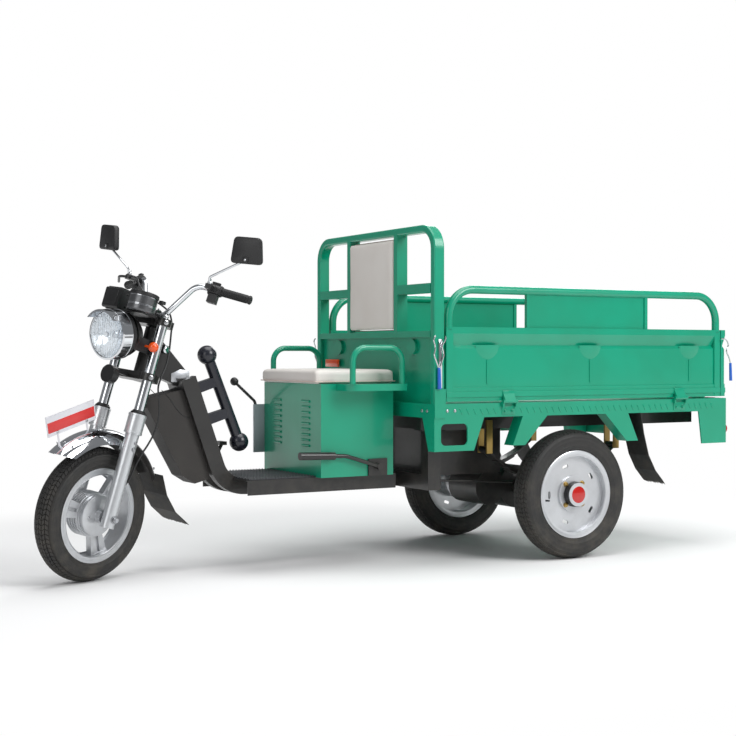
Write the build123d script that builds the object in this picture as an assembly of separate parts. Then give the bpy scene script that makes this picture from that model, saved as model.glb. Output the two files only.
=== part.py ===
from build123d import *
import math
import os

os.makedirs("parts", exist_ok=True)

# An electric cargo tricycle: one steered wheel in front, a cargo bed over two wheels behind.
# Millimetres. +X points forward, +Y to the rider's left and +Z up. While the pieces are made,
# X is counted from the rear axle and Z from the ground. They are written about the middle
# of the whole vehicle.

# Overall layout
wheelbase = 1897.0
rear_track = 840.0
overrun = 20.0
touch_gap = 0.3
running_gap = 0.05
moving_gap = 6.0

# Steering: the axis leans back by the rake, and the wheel rests turned to the left
rake = 16.5
rest_turn = 24.0
fork_offset = 45.0
leg_spacing = 190.0
slider_radius = 26.0
slider_bottom = -34.0
slider_top = 372.0
collar_radius = 33.0
collar_bottom = 318.0
collar_top = 392.0
fork_tube_radius = 19.0
lower_yoke_height = 532.0
yoke_spread = 210.0
top_yoke_height = lower_yoke_height + yoke_spread
yoke_thickness = 28.0
yoke_wall = 11.0
stem_radius = 14.0
head_tube_wall = 10.0
axle_radius = 8.0
axle_end = 16.0
leg_foot_radius = 24.0
fender_lug = 26.0

# Front wheel and tyre
front_tyre_radius = 250.0
front_tyre_width = 96.0
front_rim_radius = 174.0
front_seat_radius = 160.0
front_rim_width = 76.0
rim_wall = 6.0
front_drum_radius = 80.0
front_drum_width = 72.0
drum_shift = -12.0
spoke_count = 3
spoke_root = 52.0
spoke_tip = 74.0
spoke_thickness = 26.0
spoke_groove = 14.0
spoke_groove_depth = 8.0
brake_plate_radius = 76.0
brake_plate_thickness = 12.0
brake_arm_length = 62.0
brake_arm_width = 16.0
brake_arm_thickness = 6.0
brake_arm_angle = 125.0
brake_cam_radius = 56.0

# Front fender, flap and plate, round the front wheel's centre
fender_crest = 315.0
fender_radius = 61.0
fender_edge = 265.0
fender_sheet = 2.5
fender_front_angle = 47.0
fender_split_angle = 112.0
fender_rear_angle = 156.0
nose_tip = (248.0, 256.0)
nose_edge = (133.0, 222.0)
flap_width = 132.0
flap_sheet = 4.0
flap_drop = 202.0
flap_out = 150.0
plate_length = 226.0
plate_height = 75.0
plate_sheet = 2.0
plate_rear = 4.0
plate_rear_height = 352.0
plate_tilt = 14.0
plate_leg = 8.0
plate_legs_share = (0.2, 0.8)

# Handlebar, grips, mirrors and what hangs on the bar
bar_radius = 11.0
bar_riser = 30.0
bar_forward = 8.0
bar_clamp_half = 48.0
bar_foot_bend = 40.0
bar_knee = 137.0
bar_rise = 143.0
bar_pull = 38.0
bar_bend = 55.0
bar_end = 325.0
bar_sweep = 97.0
bar_drop = 11.0
riser_radius = 17.0
grip_radius = 16.5
grip_length = 118.0
grip_cap = 6.0
switch_length = 44.0
switch_radius = 21.0
switch_nub = 34.0
perch_width = 24.0
perch_reach = 60.0
perch_height = 18.0
perch_inset = 10.0
lever_radius = 5.0
lever_out = 16.0
lever_length = 140.0
lever_bend = 40.0
mirror_size = (24.0, 128.0, 98.0)
mirror_top_width = 107.0
mirror_round = 9.0
mirror_corner = 18.0
mirror_turn = 14.0
mirror_rise = 151.0
mirror_out = 160.0
mirror_stem_radius = 4.5
mirror_stem_rise = 24.0
mirror_stem_lean = 12.0
mirror_stem_bend = 8.0

# Headlamp, horn, signals, instruments
lamp_radius = 85.0
lamp_depth = 94.0
lamp_reach = 165.0
lamp_drop = 102.0
lamp_height = top_yoke_height - lamp_drop
lamp_rim = 7.0
lamp_rim_depth = 44.0
lamp_sag = 16.0
lamp_step = 2.0
lamp_back_radius = 52.0
visor_depth = 34.0
visor_half_angle = 52.0
ear_thickness = 11.0
ear_height = 52.0
lock_radius = 16.0
lock_length = 19.0
lock_back = 53.0
horn_radius = 33.0
horn_thickness = 30.0
horn_reach = 64.0
horn_drop = 24.0
horn_arm_width = 20.0
horn_arm_height = 11.0
signal_radius = 19.0
signal_out = 38.0
signal_side = 118.0
gauge_radius = 53.0
gauge_length = 70.0
gauge_round = 10.0
instrument_side = 68.0
instrument_reach = 145.0
box_size = (78.0, 82.0, 78.0)
box_round = 9.0
shelf_rise = 6.0
shelf_reach = 165.0
shelf_half_width = 96.0
shelf_sheet = 4.0

# Neck, floor and main frame
rail_height = 60.0
rail_width = 38.0
neck_spread = 58.0
floor_top = 360.0
neck_lean = 19.2
neck_foot = 1405.0
neck_foot_height = 467.0
neck_top = 742.0
neck_bend = 120.0
rail_rear = 560.0
gusset_width = 50.0
cover_half_width = 56.0
cover_low = 344.0
cover_bend = 60.0
cover_heel_out = 35.0
cover_heel = neck_foot + cover_heel_out
cover_toe_out = 108.0
cover_toe = cover_heel + cover_toe_out
cover_front_out = 142.0
cover_front = cover_toe + cover_front_out
cover_shoulder = 634.0
cover_top = 700.0
floor_half_width = 211.0
floor_front = 1352.0
floor_rear = 706.0
floor_sheet = 4.0
floor_lip = 56.0
mat_sheet = 7.0
knee_bar_radius = 21.5
knee_ball_radius = 37.0
knee_ball_top = (1425.0, 830.0)
knee_ball_low = (1291.0, 493.0)
knee_bracket_height = 38.0
knee_bracket_width = 34.0
knee_bracket_drop = 32.0
knee_bracket_share = (0.344, 0.703)
neck_web_height = 240.0

# Driver's box, tray, cushion and arm loops
box_front = 1061.0
box_rear = 739.0
box_half_width = 246.0
box_top = 693.0
louvre_count = 9
louvre_pitch = 21.5
louvre_length = 62.0
louvre_low = 478.0
louvre_depth = 5.0
louvre_columns_share = (-0.5, 0.5)
tray_half_width = 352.0
tray_front = 992.0
tray_height = 26.0
tray_round = 60.0
cushion_front = 1084.0
cushion_rear = 722.0
cushion_half_width = 241.0
cushion_top = 772.0
cushion_round = 14.0
loop_radius = 11.5
loop_side = 338.0
loop_front = 974.0
loop_rear = 755.0
loop_top = 858.0
loop_bend = 55.0

# Bulkhead and backrest
bulkhead_front = 694.0
bulkhead_depth = 48.0
bulkhead_half_width = 474.0
bulkhead_top = 1333.0
bulkhead_tube = 30.0
bulkhead_round = 96.0
edge_round = 7.0
lower_rail_top = 923.0
lower_rail_height = 24.0
mid_rail_top = 1106.0
mid_rail_height = 36.0
back_post_width = 26.0
panel_sheet = 4.0
boss_radius = 30.0
boss_height = 12.0
boss_side = 296.0
boss_level = 862.0
pad_half_width = 176.0
pad_low = 928.0
pad_top = 1293.0
pad_thickness = 44.0
pad_recess = 34.0

# Cargo bed
bed_half_width = 475.0
bed_rear = -817.0
floor_level = 645.0
bed_sheet = 4.0
liner_sheet = 2.0
liner_gap = 4.0
sill_height = 57.0
sill_width = 40.0
cross_width = 50.0
cross_height = 38.0
cross_count = 5
post_width = 50.0
post_top = 700.0
gate_thickness = 28.0
gate_height = 293.0
hoop_radius = 16.0
hoop_top = 1100.0
hoop_bend = 112.0
sign_front = 245.0
sign_rear = -366.0
sign_sheet = 6.0
hinge_radius = 7.0
hinge_pin_radius = 4.0
hinge_out = 14.0
hinge_length = 52.0
hinge_places_share = (0.204, 0.832)
tail_hinge_out = 20.0
tail_hinges_share = (-0.6, 0.6)
hinge_rise = 3.0
hinge_play = 1.2
gate_post = 32.0
gate_bead_rise = 14.0
gate_bead_height = 24.0
gate_recess_low = 69.0
gate_rail_height = 25.0
recess_depth = 20.0
emboss_radius = 55.0
emboss_height = 7.0
emboss_places_share = (0.137, 0.497, 0.878)
rib_half_width = 4.0
rib_height = 3.0
rib_top = 58.0
rib_low = 150.0

# Under the bed
step_depth = 128.0
step_sheet = 6.0
step_length = 231.0
step_bottom_length = 183.0
window_length = 123.0
window_height = 83.0
window_round = 20.0
bracket_height = 115.0
bracket_width = 60.0
bracket_fronts = (277.0, -144.0)
bracket_leans = (-109.0, 53.0)
bracket_top_length = 121.0
bracket_foot_length = 60.0
rear_skirt_height = 139.0
rear_skirt_length = 159.0
rear_skirt_foot = 140.0
tail_lamp_radius = 20.0
tail_lamp_length = 28.0
tail_lamp_level = 508.0
bed_rail_height = 70.0
bed_rail_width = 50.0
battery_size = (330.0, 400.0, 190.0)
battery_front = 520.0

# Rear wheels, axle and springs
rear_tyre_radius = 263.0
rear_tyre_width = 104.0
rear_tread_half = 38.0
rear_shoulder_drop = 12.0
rear_rim_radius = 176.0
rear_seat_radius = 162.0
rear_rim_width = 84.0
disc_sheet = 5.0
disc_out = 14.0
hub_ring_radius = 73.0
hub_ring_height = 14.0
slot_count = 5
slot_radius = 118.0
slot_size = (30.0, 13.0)
cap_radius = 48.0
cap_length = 46.0
tube_axle_radius = 30.0
diff_radius = 92.0
diff_width = 120.0
motor_radius = 74.0
motor_length = 180.0
half_shaft_radius = 16.0
drum_radius = 88.0
drum_width = 46.0
leaf_width = 50.0
leaf_count = 5
leaf_sheet = 7.0
leaf_half_length = 330.0
leaf_side = 290.0
leaf_camber = 118.0
leaf_step_share = 0.16
shackle_sheet = 8.0
rear_flap_width = 124.0
rear_flap_front = -325.0
rear_flap_outs = (0.0, 17.0, 43.0, 80.0, 125.0)
rear_flap_drops = (0.0, 88.0, 178.0, 243.0, 292.0)

# Hand and foot controls on the frame
gear_plate_rear = 40.0
gear_plate_front = 49.0
gear_plate_low = 430.0
gear_plate_top = 628.0
gear_plate_sheet = 6.0
gear_stalk_out = 24.0
gear_stalk_rise = 110.0
gear_stalk_radius = 6.0
gear_bend = 60.0
gear_knob = (1194.0, 722.0)
gear_knob_radius = 17.0
pedal_foot = 1330.0
pedal_side = 120.0
pedal_knee_rise = 73.0
pedal_back = 22.0
pedal_toe_rise = 42.0
pedal_bend = 30.0
pedal_radius = 7.0
pedal_length = 24.0
pedal_half_width = 30.0
hand_base = (770.0, 396.0)
hand_base_length = 84.0
hand_base_height = 66.0
hand_sheet = 7.0
hand_out = 18.0
hand_run = 150.0
hand_rise = 46.0
hand_grip_length = 200.0
hand_grip_rise = 6.0
hand_grip_radius = 15.0
hand_radius = 8.0
hand_pivot_radius = 13.0
hand_bend = 90.0
rod_side = 206.0
rod_rear_height = 300.0
axle_clear = 130.0
pull_radius = 5.0


def ground_frame(origin, forward, up):
    """Place whose local X and Z point along the given directions."""
    return Plane(origin=origin, x_dir=forward, z_dir=up).location


def pair(shape):
    """A piece of the left side and its mirror image on the right."""
    return [shape, mirror(shape, about=Plane.XZ)]


def block(low, high):
    """A box between two corners."""
    size = [b - a for a, b in zip(low, high)]
    middle = [(a + b) / 2 for a, b in zip(low, high)]
    return Pos(*middle) * Box(*size)


def rod(start, end, radius):
    """A round bar from one point to another."""
    start, end = Vector(*start), Vector(*end)
    run = end - start
    place = Plane(origin=start, z_dir=run).location
    return place * extrude(Circle(radius), amount=run.length)


def bent_rod(points, bends, radius):
    """A round bar along straight runs joined by arcs."""
    route = FilletPolyline(*points, radius=bends)
    return sweep(Plane(origin=route @ 0, z_dir=route % 0) * Circle(radius), path=route)


def side_slab(points, low, high):
    """An outline in the side view (X, Z), as thick as the span from low to high in Y."""
    face = Plane.XZ * make_face(Polyline(*points, close=True))
    return Pos(0, high, 0) * extrude(face, amount=high - low)


def cross_slab(points, rear, front):
    """An outline in the front view (Y, Z), extruded along X."""
    face = Plane.YZ * make_face(Polyline(*points, close=True))
    return Pos(rear, 0, 0) * extrude(face, amount=front - rear)


def ring_section(points, arc=360):
    """A closed outline of (radius, along the axle) points, turned about Y."""
    return revolve(make_face(Polyline(*points, close=True)), axis=Axis.Y, revolution_arc=arc)


# Steering frame: local X ahead, local Z up the axis, its origin level with the axle
sin_rake = math.sin(math.radians(rake))
cos_rake = math.cos(math.radians(rake))
tyre_section = front_tyre_width / 2
wheel_lean = math.asin(math.sin(math.radians(rest_turn)) * sin_rake)
front_axle_height = (front_tyre_radius - tyre_section) * math.cos(wheel_lean) + tyre_section
foot_x = wheelbase - fork_offset * cos_rake
foot_z = front_axle_height - fork_offset * math.cos(math.radians(rest_turn)) * sin_rake
straight_place = ground_frame((foot_x, 0, foot_z), (cos_rake, 0, sin_rake), (-sin_rake, 0, cos_rake))
steer_place = straight_place * Rot(0, 0, rest_turn)
wheel_place = steer_place * Pos(fork_offset, 0, 0)
upright_place = wheel_place * Rot(0, rake, 0)
half_leg = leg_spacing / 2


def steered(shape):
    """Moves a piece from the steering frame to its place."""
    return steer_place * shape


# Front wheel
def front_tyre():
    half_seat = front_rim_width / 2 - rim_wall
    outline = Polyline(
        (front_tyre_radius - tyre_section, -tyre_section),
        (front_rim_radius, -half_seat),
        (front_seat_radius, -half_seat),
        (front_seat_radius, half_seat),
        (front_rim_radius, half_seat),
        (front_tyre_radius - tyre_section, tyre_section),
    )
    crown = ThreePointArc(outline @ 1, (front_tyre_radius, 0), outline @ 0)
    return revolve(make_face(outline.edges() + crown.edges()), axis=Axis.Y)


def rim_ring(seat_radius, flange_radius, width):
    half = width / 2
    inner = seat_radius - rim_wall
    points = [
        (inner, -half),
        (flange_radius, -half),
        (flange_radius, rim_wall - half),
        (seat_radius, rim_wall - half),
        (seat_radius, half - rim_wall),
        (flange_radius, half - rim_wall),
        (flange_radius, half),
        (inner, half),
    ]
    return ring_section(points)


def cylinder_y(radius, low, high):
    return Pos(0, (low + high) / 2, 0) * Rot(90, 0, 0) * Cylinder(radius, high - low)


def front_wheel():
    wheel = rim_ring(front_seat_radius, front_rim_radius, front_rim_width)
    drum_low = drum_shift - front_drum_width / 2
    drum_high = drum_shift + front_drum_width / 2
    wheel += cylinder_y(front_drum_radius, drum_low, drum_high)
    reach = math.sqrt((front_seat_radius - rim_wall / 2) ** 2 - (spoke_tip / 2) ** 2)
    spoke_start = front_drum_radius - rim_wall
    outline = [
        (spoke_start, -spoke_root / 2),
        (reach, -spoke_tip / 2),
        (reach, spoke_tip / 2),
        (spoke_start, spoke_root / 2),
    ]
    spoke = side_slab(outline, -spoke_thickness / 2, spoke_thickness / 2)
    groove_start = front_drum_radius + rim_wall
    groove_end = front_seat_radius - 2 * rim_wall
    for side in (-1, 1):
        face_y = side * spoke_thickness / 2
        low = min(face_y, face_y - side * spoke_groove_depth)
        high = max(face_y, face_y - side * spoke_groove_depth)
        spoke -= block((groove_start, low, -spoke_groove / 2), (groove_end, high, spoke_groove / 2))
    for number in range(spoke_count):
        wheel += Rot(0, number * 360 / spoke_count, 0) * spoke
    bore = cylinder_y(axle_radius + running_gap, drum_low - overrun, drum_high + overrun)
    return wheel - bore


brake_plate_side = drum_shift + front_drum_width / 2 + touch_gap + brake_plate_thickness


def brake_plate():
    high = brake_plate_side
    low = high - brake_plate_thickness
    plate = cylinder_y(brake_plate_radius, low, high)
    spacer_end = half_leg - slider_radius - touch_gap
    plate += cylinder_y(leg_foot_radius, high, spacer_end)
    plate += cylinder_y(axle_radius, -half_leg - axle_end, half_leg + axle_end + slider_radius)
    hub_end = drum_shift - front_drum_width / 2
    plate += cylinder_y(leg_foot_radius, -spacer_end, hub_end - touch_gap)
    cam = Pos(brake_cam_radius, 0, 0) * cylinder_y(brake_arm_width / 2, high, high + 2 * brake_arm_thickness)
    arm_low = (brake_cam_radius, high + brake_arm_thickness, -brake_arm_width / 2)
    arm_high = (brake_cam_radius + brake_arm_length, high + 2 * brake_arm_thickness, brake_arm_width / 2)
    return plate + Rot(0, -brake_arm_angle, 0) * (cam + block(arm_low, arm_high))


# Fork
def fork_sliders():
    leg = Pos(fork_offset, half_leg, (slider_bottom + slider_top) / 2) * Cylinder(
        slider_radius, slider_top - slider_bottom)
    leg += Pos(fork_offset, half_leg, (collar_bottom + collar_top) / 2) * Cylinder(
        collar_radius, collar_top - collar_bottom)
    drop = fender_edge - (fender_crest - fender_radius)
    fender_side = math.sqrt(fender_radius ** 2 - drop ** 2) + touch_gap
    lug_low = (fork_offset - fender_lug / 2, fender_side, fender_edge - fender_lug / 2)
    lug_high = (fork_offset + fender_lug / 2, half_leg, fender_edge + fender_lug / 2)
    leg += block(lug_low, lug_high)
    leg -= Pos(fork_offset, half_leg, 0) * Rot(90, 0, 0) * Cylinder(
        axle_radius + running_gap, 4 * slider_radius)
    bore = collar_top - 2 * slider_radius
    leg -= Pos(fork_offset, half_leg, (bore + collar_top + overrun) / 2) * Cylinder(
        fork_tube_radius + running_gap, collar_top + overrun - bore)
    return [steered(side) for side in pair(leg)]


def fork_tubes():
    low = collar_top - 2 * slider_radius
    high = top_yoke_height + yoke_thickness / 2
    tube = Pos(fork_offset, half_leg, (low + high) / 2) * Cylinder(fork_tube_radius, high - low)
    return [steered(side) for side in pair(tube)]


def yoke(height):
    eye = fork_tube_radius + yoke_wall
    web = (fork_offset + eye) / 2
    plate = Pos(web - yoke_wall, 0, height) * Box(2 * web, leg_spacing, yoke_thickness)
    for side in (-half_leg, half_leg):
        plate += Pos(fork_offset, side, height) * Cylinder(eye, yoke_thickness)
    plate += Pos(0, 0, height) * Cylinder(stem_radius + 2 * yoke_wall, yoke_thickness)
    for side in (-half_leg, half_leg):
        plate -= Pos(fork_offset, side, height) * Cylinder(fork_tube_radius + running_gap, leg_spacing)
    return plate


bar_clamp_height = top_yoke_height + bar_riser
shelf_level = top_yoke_height + shelf_rise


def fork_yokes():
    yokes = yoke(lower_yoke_height) + yoke(top_yoke_height)
    middle = (lower_yoke_height + top_yoke_height) / 2
    yokes += Pos(0, 0, middle) * Cylinder(stem_radius, top_yoke_height - lower_yoke_height)
    yokes += Pos(bar_forward, 0, top_yoke_height + bar_riser / 2) * Cylinder(riser_radius, bar_riser)
    clamp_place = Pos(bar_forward, 0, bar_clamp_height) * Rot(90, 0, 0)
    yokes += clamp_place * Cylinder(bar_radius + yoke_wall, bar_clamp_half)
    shelf_low = shelf_level - shelf_sheet
    shelf_root = fork_offset + fork_tube_radius + touch_gap
    yokes += block((shelf_root, -shelf_half_width, shelf_low),
                   (shelf_reach, shelf_half_width, shelf_level))
    inner = half_leg - fork_tube_radius - yoke_wall
    yokes += block((fork_offset, -inner, shelf_low), (shelf_root + yoke_wall, inner, shelf_level))
    return steered(yokes - clamp_place * Cylinder(bar_radius + running_gap, leg_spacing))


# Bar, grips and controls


def bar_points():
    """Left half of the bar: clamp, foot of the riser, knee, end."""
    high = bar_clamp_height + bar_rise
    return [
        Vector(bar_forward, 0, bar_clamp_height),
        Vector(bar_forward, bar_clamp_half, bar_clamp_height),
        Vector(bar_forward - bar_pull, bar_knee, high),
        Vector(bar_forward - bar_pull - bar_sweep, bar_end, high - bar_drop),
    ]


def handlebar():
    left = [tuple(point) for point in bar_points()]
    right = [(x, -y, z) for x, y, z in left[:0:-1]]
    bends = [bar_bend, bar_foot_bend, bar_foot_bend, bar_bend]
    return steered(bent_rod(right + left[1:], bends, bar_radius))


def grip_place(back, ahead=0.0, up=0.0):
    """A place beside the left grip: so far back from its end, ahead of it and above it."""
    points = bar_points()
    run = (points[3] - points[2]).normalized()
    front = Vector(run.Y, -run.X, 0).normalized()
    origin = points[3] - run * back + front * ahead + Vector(0, 0, up)
    return Plane(origin=origin, x_dir=front, z_dir=run).location


def sleeve(radius, inner, length, back):
    ring = Circle(radius) - Circle(inner)
    return grip_place(back) * extrude(ring, amount=length)


def handlebar_grips():
    grip = sleeve(grip_radius, bar_radius + running_gap, grip_length, grip_length)
    grip += grip_place(0) * extrude(Circle(grip_radius), amount=grip_cap)
    return [steered(side) for side in pair(grip)]


pod_back = grip_length + switch_length + touch_gap
perch_back = pod_back - perch_inset


def handlebar_controls():
    pod = sleeve(switch_radius, bar_radius + running_gap, switch_length, pod_back)
    nub = Box(switch_nub, switch_nub, switch_nub)
    pod += grip_place(pod_back - switch_length / 2, up=-switch_nub) * nub
    long = perch_reach - bar_radius
    middle = bar_radius + running_gap + long / 2
    pod += grip_place(perch_back, ahead=middle) * Box(long, perch_height, perch_width)
    hole = extrude(Circle(bar_radius + running_gap), amount=2 * switch_length, both=True)
    pod -= grip_place(pod_back) * hole
    root = grip_place(perch_back, ahead=perch_reach - lever_radius).position
    elbow = grip_place(perch_back - lever_bend, ahead=perch_reach + lever_out).position
    tip = grip_place(perch_back - lever_length, ahead=perch_reach - lever_out).position
    lever = bent_rod([tuple(root), tuple(elbow), tuple(tip)], lever_bend, lever_radius)
    left, right = pair(pod)
    return [steered(left), steered(right + mirror(lever, about=Plane.XZ))]


def mirrors():
    top = perch_height / 2
    ahead = perch_reach - perch_inset
    root = grip_place(perch_back, ahead=ahead, up=top - mirror_stem_radius).position
    elbow = root + Vector(mirror_stem_lean, mirror_stem_radius, mirror_stem_rise + mirror_stem_radius)
    head = root + Vector(mirror_stem_lean, mirror_out - mirror_stem_bend, mirror_rise - top)
    size_x, size_y, size_z = mirror_size
    shell = make_face(Polyline(
        (-size_y / 2, -size_z / 2), (size_y / 2, -size_z / 2),
        (mirror_top_width / 2, size_z / 2), (-mirror_top_width / 2, size_z / 2), close=True))
    outline = Plane.YZ * fillet(shell.vertices(), mirror_corner)
    shell = Pos(-size_x / 2, 0, 0) * extrude(outline, amount=size_x)
    shell = fillet(shell.edges().group_by(Axis.X)[-1], mirror_round)
    shell = Pos(*head) * Rot(0, rake, 0) * Rot(0, 0, mirror_turn) * shell
    foot = (Pos(*head) * Rot(0, rake, 0) * Pos(0, 0, -size_z / 3)).position
    stem = bent_rod([tuple(root), tuple(elbow), tuple(foot)], mirror_stem_bend, mirror_stem_radius)
    bore = grip_place(perch_back, ahead=ahead) * Box(
        perch_width, perch_height + touch_gap, perch_width + overrun)
    return [steered(piece) for piece in pair(stem - bore + shell)]


# Lamp, horn, signals and instruments
lamp_place = Pos(fork_offset + lamp_reach, 0, lamp_height) * Rot(0, rake, 0)
face_forward = Rot(0, 0, -90)


def headlamp_shell():
    back = -lamp_depth
    front = -lamp_rim_depth - touch_gap
    bucket = ring_section([
        (0, front),
        (lamp_radius + lamp_rim - lamp_step, front),
        (lamp_radius + lamp_rim - lamp_step, front - lamp_sag),
        (lamp_radius, (front + back) / 2),
        (lamp_back_radius, back),
        (0, back),
    ])
    bucket = lamp_place * face_forward * bucket
    ear_side = half_leg - fork_tube_radius - ear_thickness
    for side in (-1, 1):
        inner = min(side * ear_side, side * (ear_side + ear_thickness))
        low = (fork_offset - fork_tube_radius, inner, lamp_height - ear_height / 2)
        high = (fork_offset + lamp_reach - lamp_rim_depth - lamp_sag, inner + ear_thickness,
                lamp_height + ear_height / 2)
        bucket += block(low, high)
    lock_x = fork_offset - lock_back
    bucket += block((lock_x, ear_side, lamp_height),
                    (fork_offset, ear_side + ear_thickness, lamp_height + ear_height / 2))
    lock_side = ear_side + ear_thickness - touch_gap
    bucket += Pos(lock_x, lock_side + lock_length / 2, lamp_height + ear_height / 4) * Rot(
        90, 0, 0) * Cylinder(
        lock_radius, lock_length)
    return steered(bucket)


def headlamp_rim():
    outer = lamp_radius + lamp_rim
    rim = cylinder_y(outer, -lamp_rim_depth, 0)
    rim -= cylinder_y(lamp_radius + touch_gap, -2 * lamp_rim_depth, overrun)
    visor = cylinder_y(outer, 0, visor_depth) - cylinder_y(lamp_radius + touch_gap, -overrun, 2 * visor_depth)
    foot = outer * math.sin(math.radians(90 - visor_half_angle))
    keep = block((-outer, -touch_gap, foot), (outer, visor_depth, outer))
    return steered(lamp_place * face_forward * (rim + (visor & keep)))


def headlamp_lens():
    dome = (lamp_radius ** 2 + lamp_sag ** 2) / (2 * lamp_sag)
    glass = Pos(0, lamp_sag - dome, 0) * Sphere(dome)
    glass &= cylinder_y(lamp_radius, 0, 2 * lamp_sag)
    glass += cylinder_y(lamp_radius, touch_gap - lamp_sag, 0)
    return steered(lamp_place * face_forward * glass)


yoke_front = fork_offset + fork_tube_radius


def horn():
    back = yoke_front + horn_reach
    disc = Pos(back + horn_thickness / 2, 0, lower_yoke_height - horn_drop) * Rot(0, 90, 0) * Cylinder(
        horn_radius, horn_thickness)
    arm = block((yoke_front + touch_gap, -horn_arm_width / 2, lower_yoke_height - horn_arm_height),
                (back + horn_thickness / 2, horn_arm_width / 2, lower_yoke_height))
    return steered(disc + arm)


def turn_signals():
    x = fork_offset + signal_out
    stalk = rod((x, half_leg - fork_tube_radius + touch_gap, lamp_height), (x, signal_side, lamp_height),
                mirror_stem_radius)
    lamp = Pos(x, signal_side, lamp_height) * Sphere(signal_radius)
    return [steered(side) for side in pair(stalk + lamp)]




def instrument_box():
    size_x, size_y, size_z = box_size
    body = Box(size_x, size_y, size_z)
    body = fillet(body.edges().filter_by(Axis.Y), box_round)
    middle = shelf_level + touch_gap + size_z / 2
    place = Pos(fork_offset + instrument_reach - gauge_radius, -instrument_side, middle)
    return steered(place * body)


def gauge():
    barrel = fillet(Cylinder(gauge_radius, gauge_length).edges().group_by(Axis.Z)[0], gauge_round)
    place = Pos(fork_offset + instrument_reach - gauge_radius + gauge_round, instrument_side,
                shelf_level + touch_gap + gauge_length / 2)
    return steered(place * barrel)


# Fender, flap and plate
def fender_arc(start, end):
    middle = fender_crest - fender_radius
    ring = Pos(middle, 0) * (Circle(fender_radius) - Circle(fender_radius - fender_sheet))
    keep = Pos(fender_edge + fender_crest / 2, 0) * Rectangle(fender_crest, 3 * fender_radius)
    arc = revolve(ring & keep, axis=Axis.Y, revolution_arc=end - start)
    return Rot(0, -start, 0) * mirror(arc, about=Plane.XY)


def front_fender():
    arc = fender_arc(fender_front_angle, fender_split_angle)
    slope = (nose_tip[1] - nose_edge[1]) / (nose_tip[0] - nose_edge[0])
    far = fender_crest
    cut = [
        (nose_edge[0] - far, nose_edge[1] - far * slope),
        (nose_tip[0] + far, nose_tip[1] + far * slope),
        (nose_tip[0] + far, -far),
        (nose_edge[0] - far, -far),
    ]
    return upright_place * (arc - side_slab(cut, -far, far))


def fender_rear():
    gap = math.degrees(touch_gap / fender_crest)
    return upright_place * fender_arc(fender_split_angle + gap, fender_rear_angle)


def front_flap():
    rear = math.radians(fender_rear_angle) + touch_gap / fender_crest
    top_x = (fender_crest - fender_sheet) * math.cos(rear)
    top_z = (fender_crest - fender_sheet) * math.sin(rear)
    drop_share = (0.0, 0.4, 0.75, 1.0)
    out_share = (0.0, 0.2, 0.55, 1.0)
    front = [(top_x - flap_out * out, top_z - flap_drop * drop) for out, drop in zip(out_share, drop_share)]
    rear_side = [(x - flap_sheet, z) for x, z in reversed(front)]
    return upright_place * side_slab(front + rear_side, -flap_width / 2, flap_width / 2)


def number_plate():
    sheet = block((0, -plate_sheet / 2, 0), (plate_length, plate_sheet / 2, plate_height))
    for share in plate_legs_share:
        x = plate_length * share
        foot = fender_crest / 2
        sheet += block((x - plate_leg / 2, -plate_sheet / 2, -foot), (x + plate_leg / 2, plate_sheet / 2, 0))
    sheet = Pos(plate_rear, 0, plate_rear_height) * Rot(0, plate_tilt, 0) * sheet
    clear = cylinder_y(fender_crest + touch_gap, -fender_crest, fender_crest)
    return upright_place * (sheet - clear)


cable_radius = 3.5
cable_bend_share = 0.45
cable_stub = 14.0
cable_gap = 0.8
cable_route = [
    (2, -150, 910),
    (24, -98, 868),
    (18, -44, 834),
    (-6, 4, 820),
    (-28, 38, 800),
    (-32, 62, 760),
    (-34, 74, 702),
    (-36, 84, 650),
    (-26, 98, 595),
    (-8, 106, 548),
    (-3, 108, 510),
    (-14, 113, 477),
    (-26, 121, 440),
    (-34, 125, 393),
    (-36, 121, 341),
    (-30, 112, 296),
    (-19, 100, 250),
    (-19, 85, 196),
    (-30, 64, 146),
]


def brake_cable():
    """The front brake's cable: from the right lever, behind the left leg, to the brake's arm."""
    start = grip_place(perch_back + perch_width / 2 + cable_gap, ahead=perch_reach - cable_stub).position
    arm_end = Pos(fork_offset, 0, 0) * Rot(0, -brake_arm_angle, 0) * Pos(
        brake_cam_radius + brake_arm_length - brake_arm_width / 2,
        brake_plate_side + 3 * brake_arm_thickness / 2,
        -brake_arm_width / 2 - cable_radius - cable_gap)
    end = arm_end.position
    points = [(start.X, -start.Y, start.Z)] + cable_route + [(end.X, end.Y, end.Z)]
    bends = []
    for before, at, after in zip(points, points[1:], points[2:]):
        first = Vector(*at) - Vector(*before)
        second = Vector(*after) - Vector(*at)
        turn = math.radians(first.get_angle(second))
        bends.append(cable_bend_share * min(first.length, second.length) / math.tan(turn / 2))
    return steered(bent_rod(points, bends, cable_radius))


# Main frame
def neck_rear_x(height):
    return neck_foot + (height - neck_foot_height) * math.tan(math.radians(neck_lean))


def neck_middle_x(height):
    return neck_rear_x(height) + rail_height / 2 / math.cos(math.radians(neck_lean))


def neck_front_x(height):
    return neck_rear_x(height) + rail_height / math.cos(math.radians(neck_lean))


bed_rail_top = floor_level - bed_sheet - cross_height - touch_gap
bed_rail_low = bed_rail_top - bed_rail_height


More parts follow.
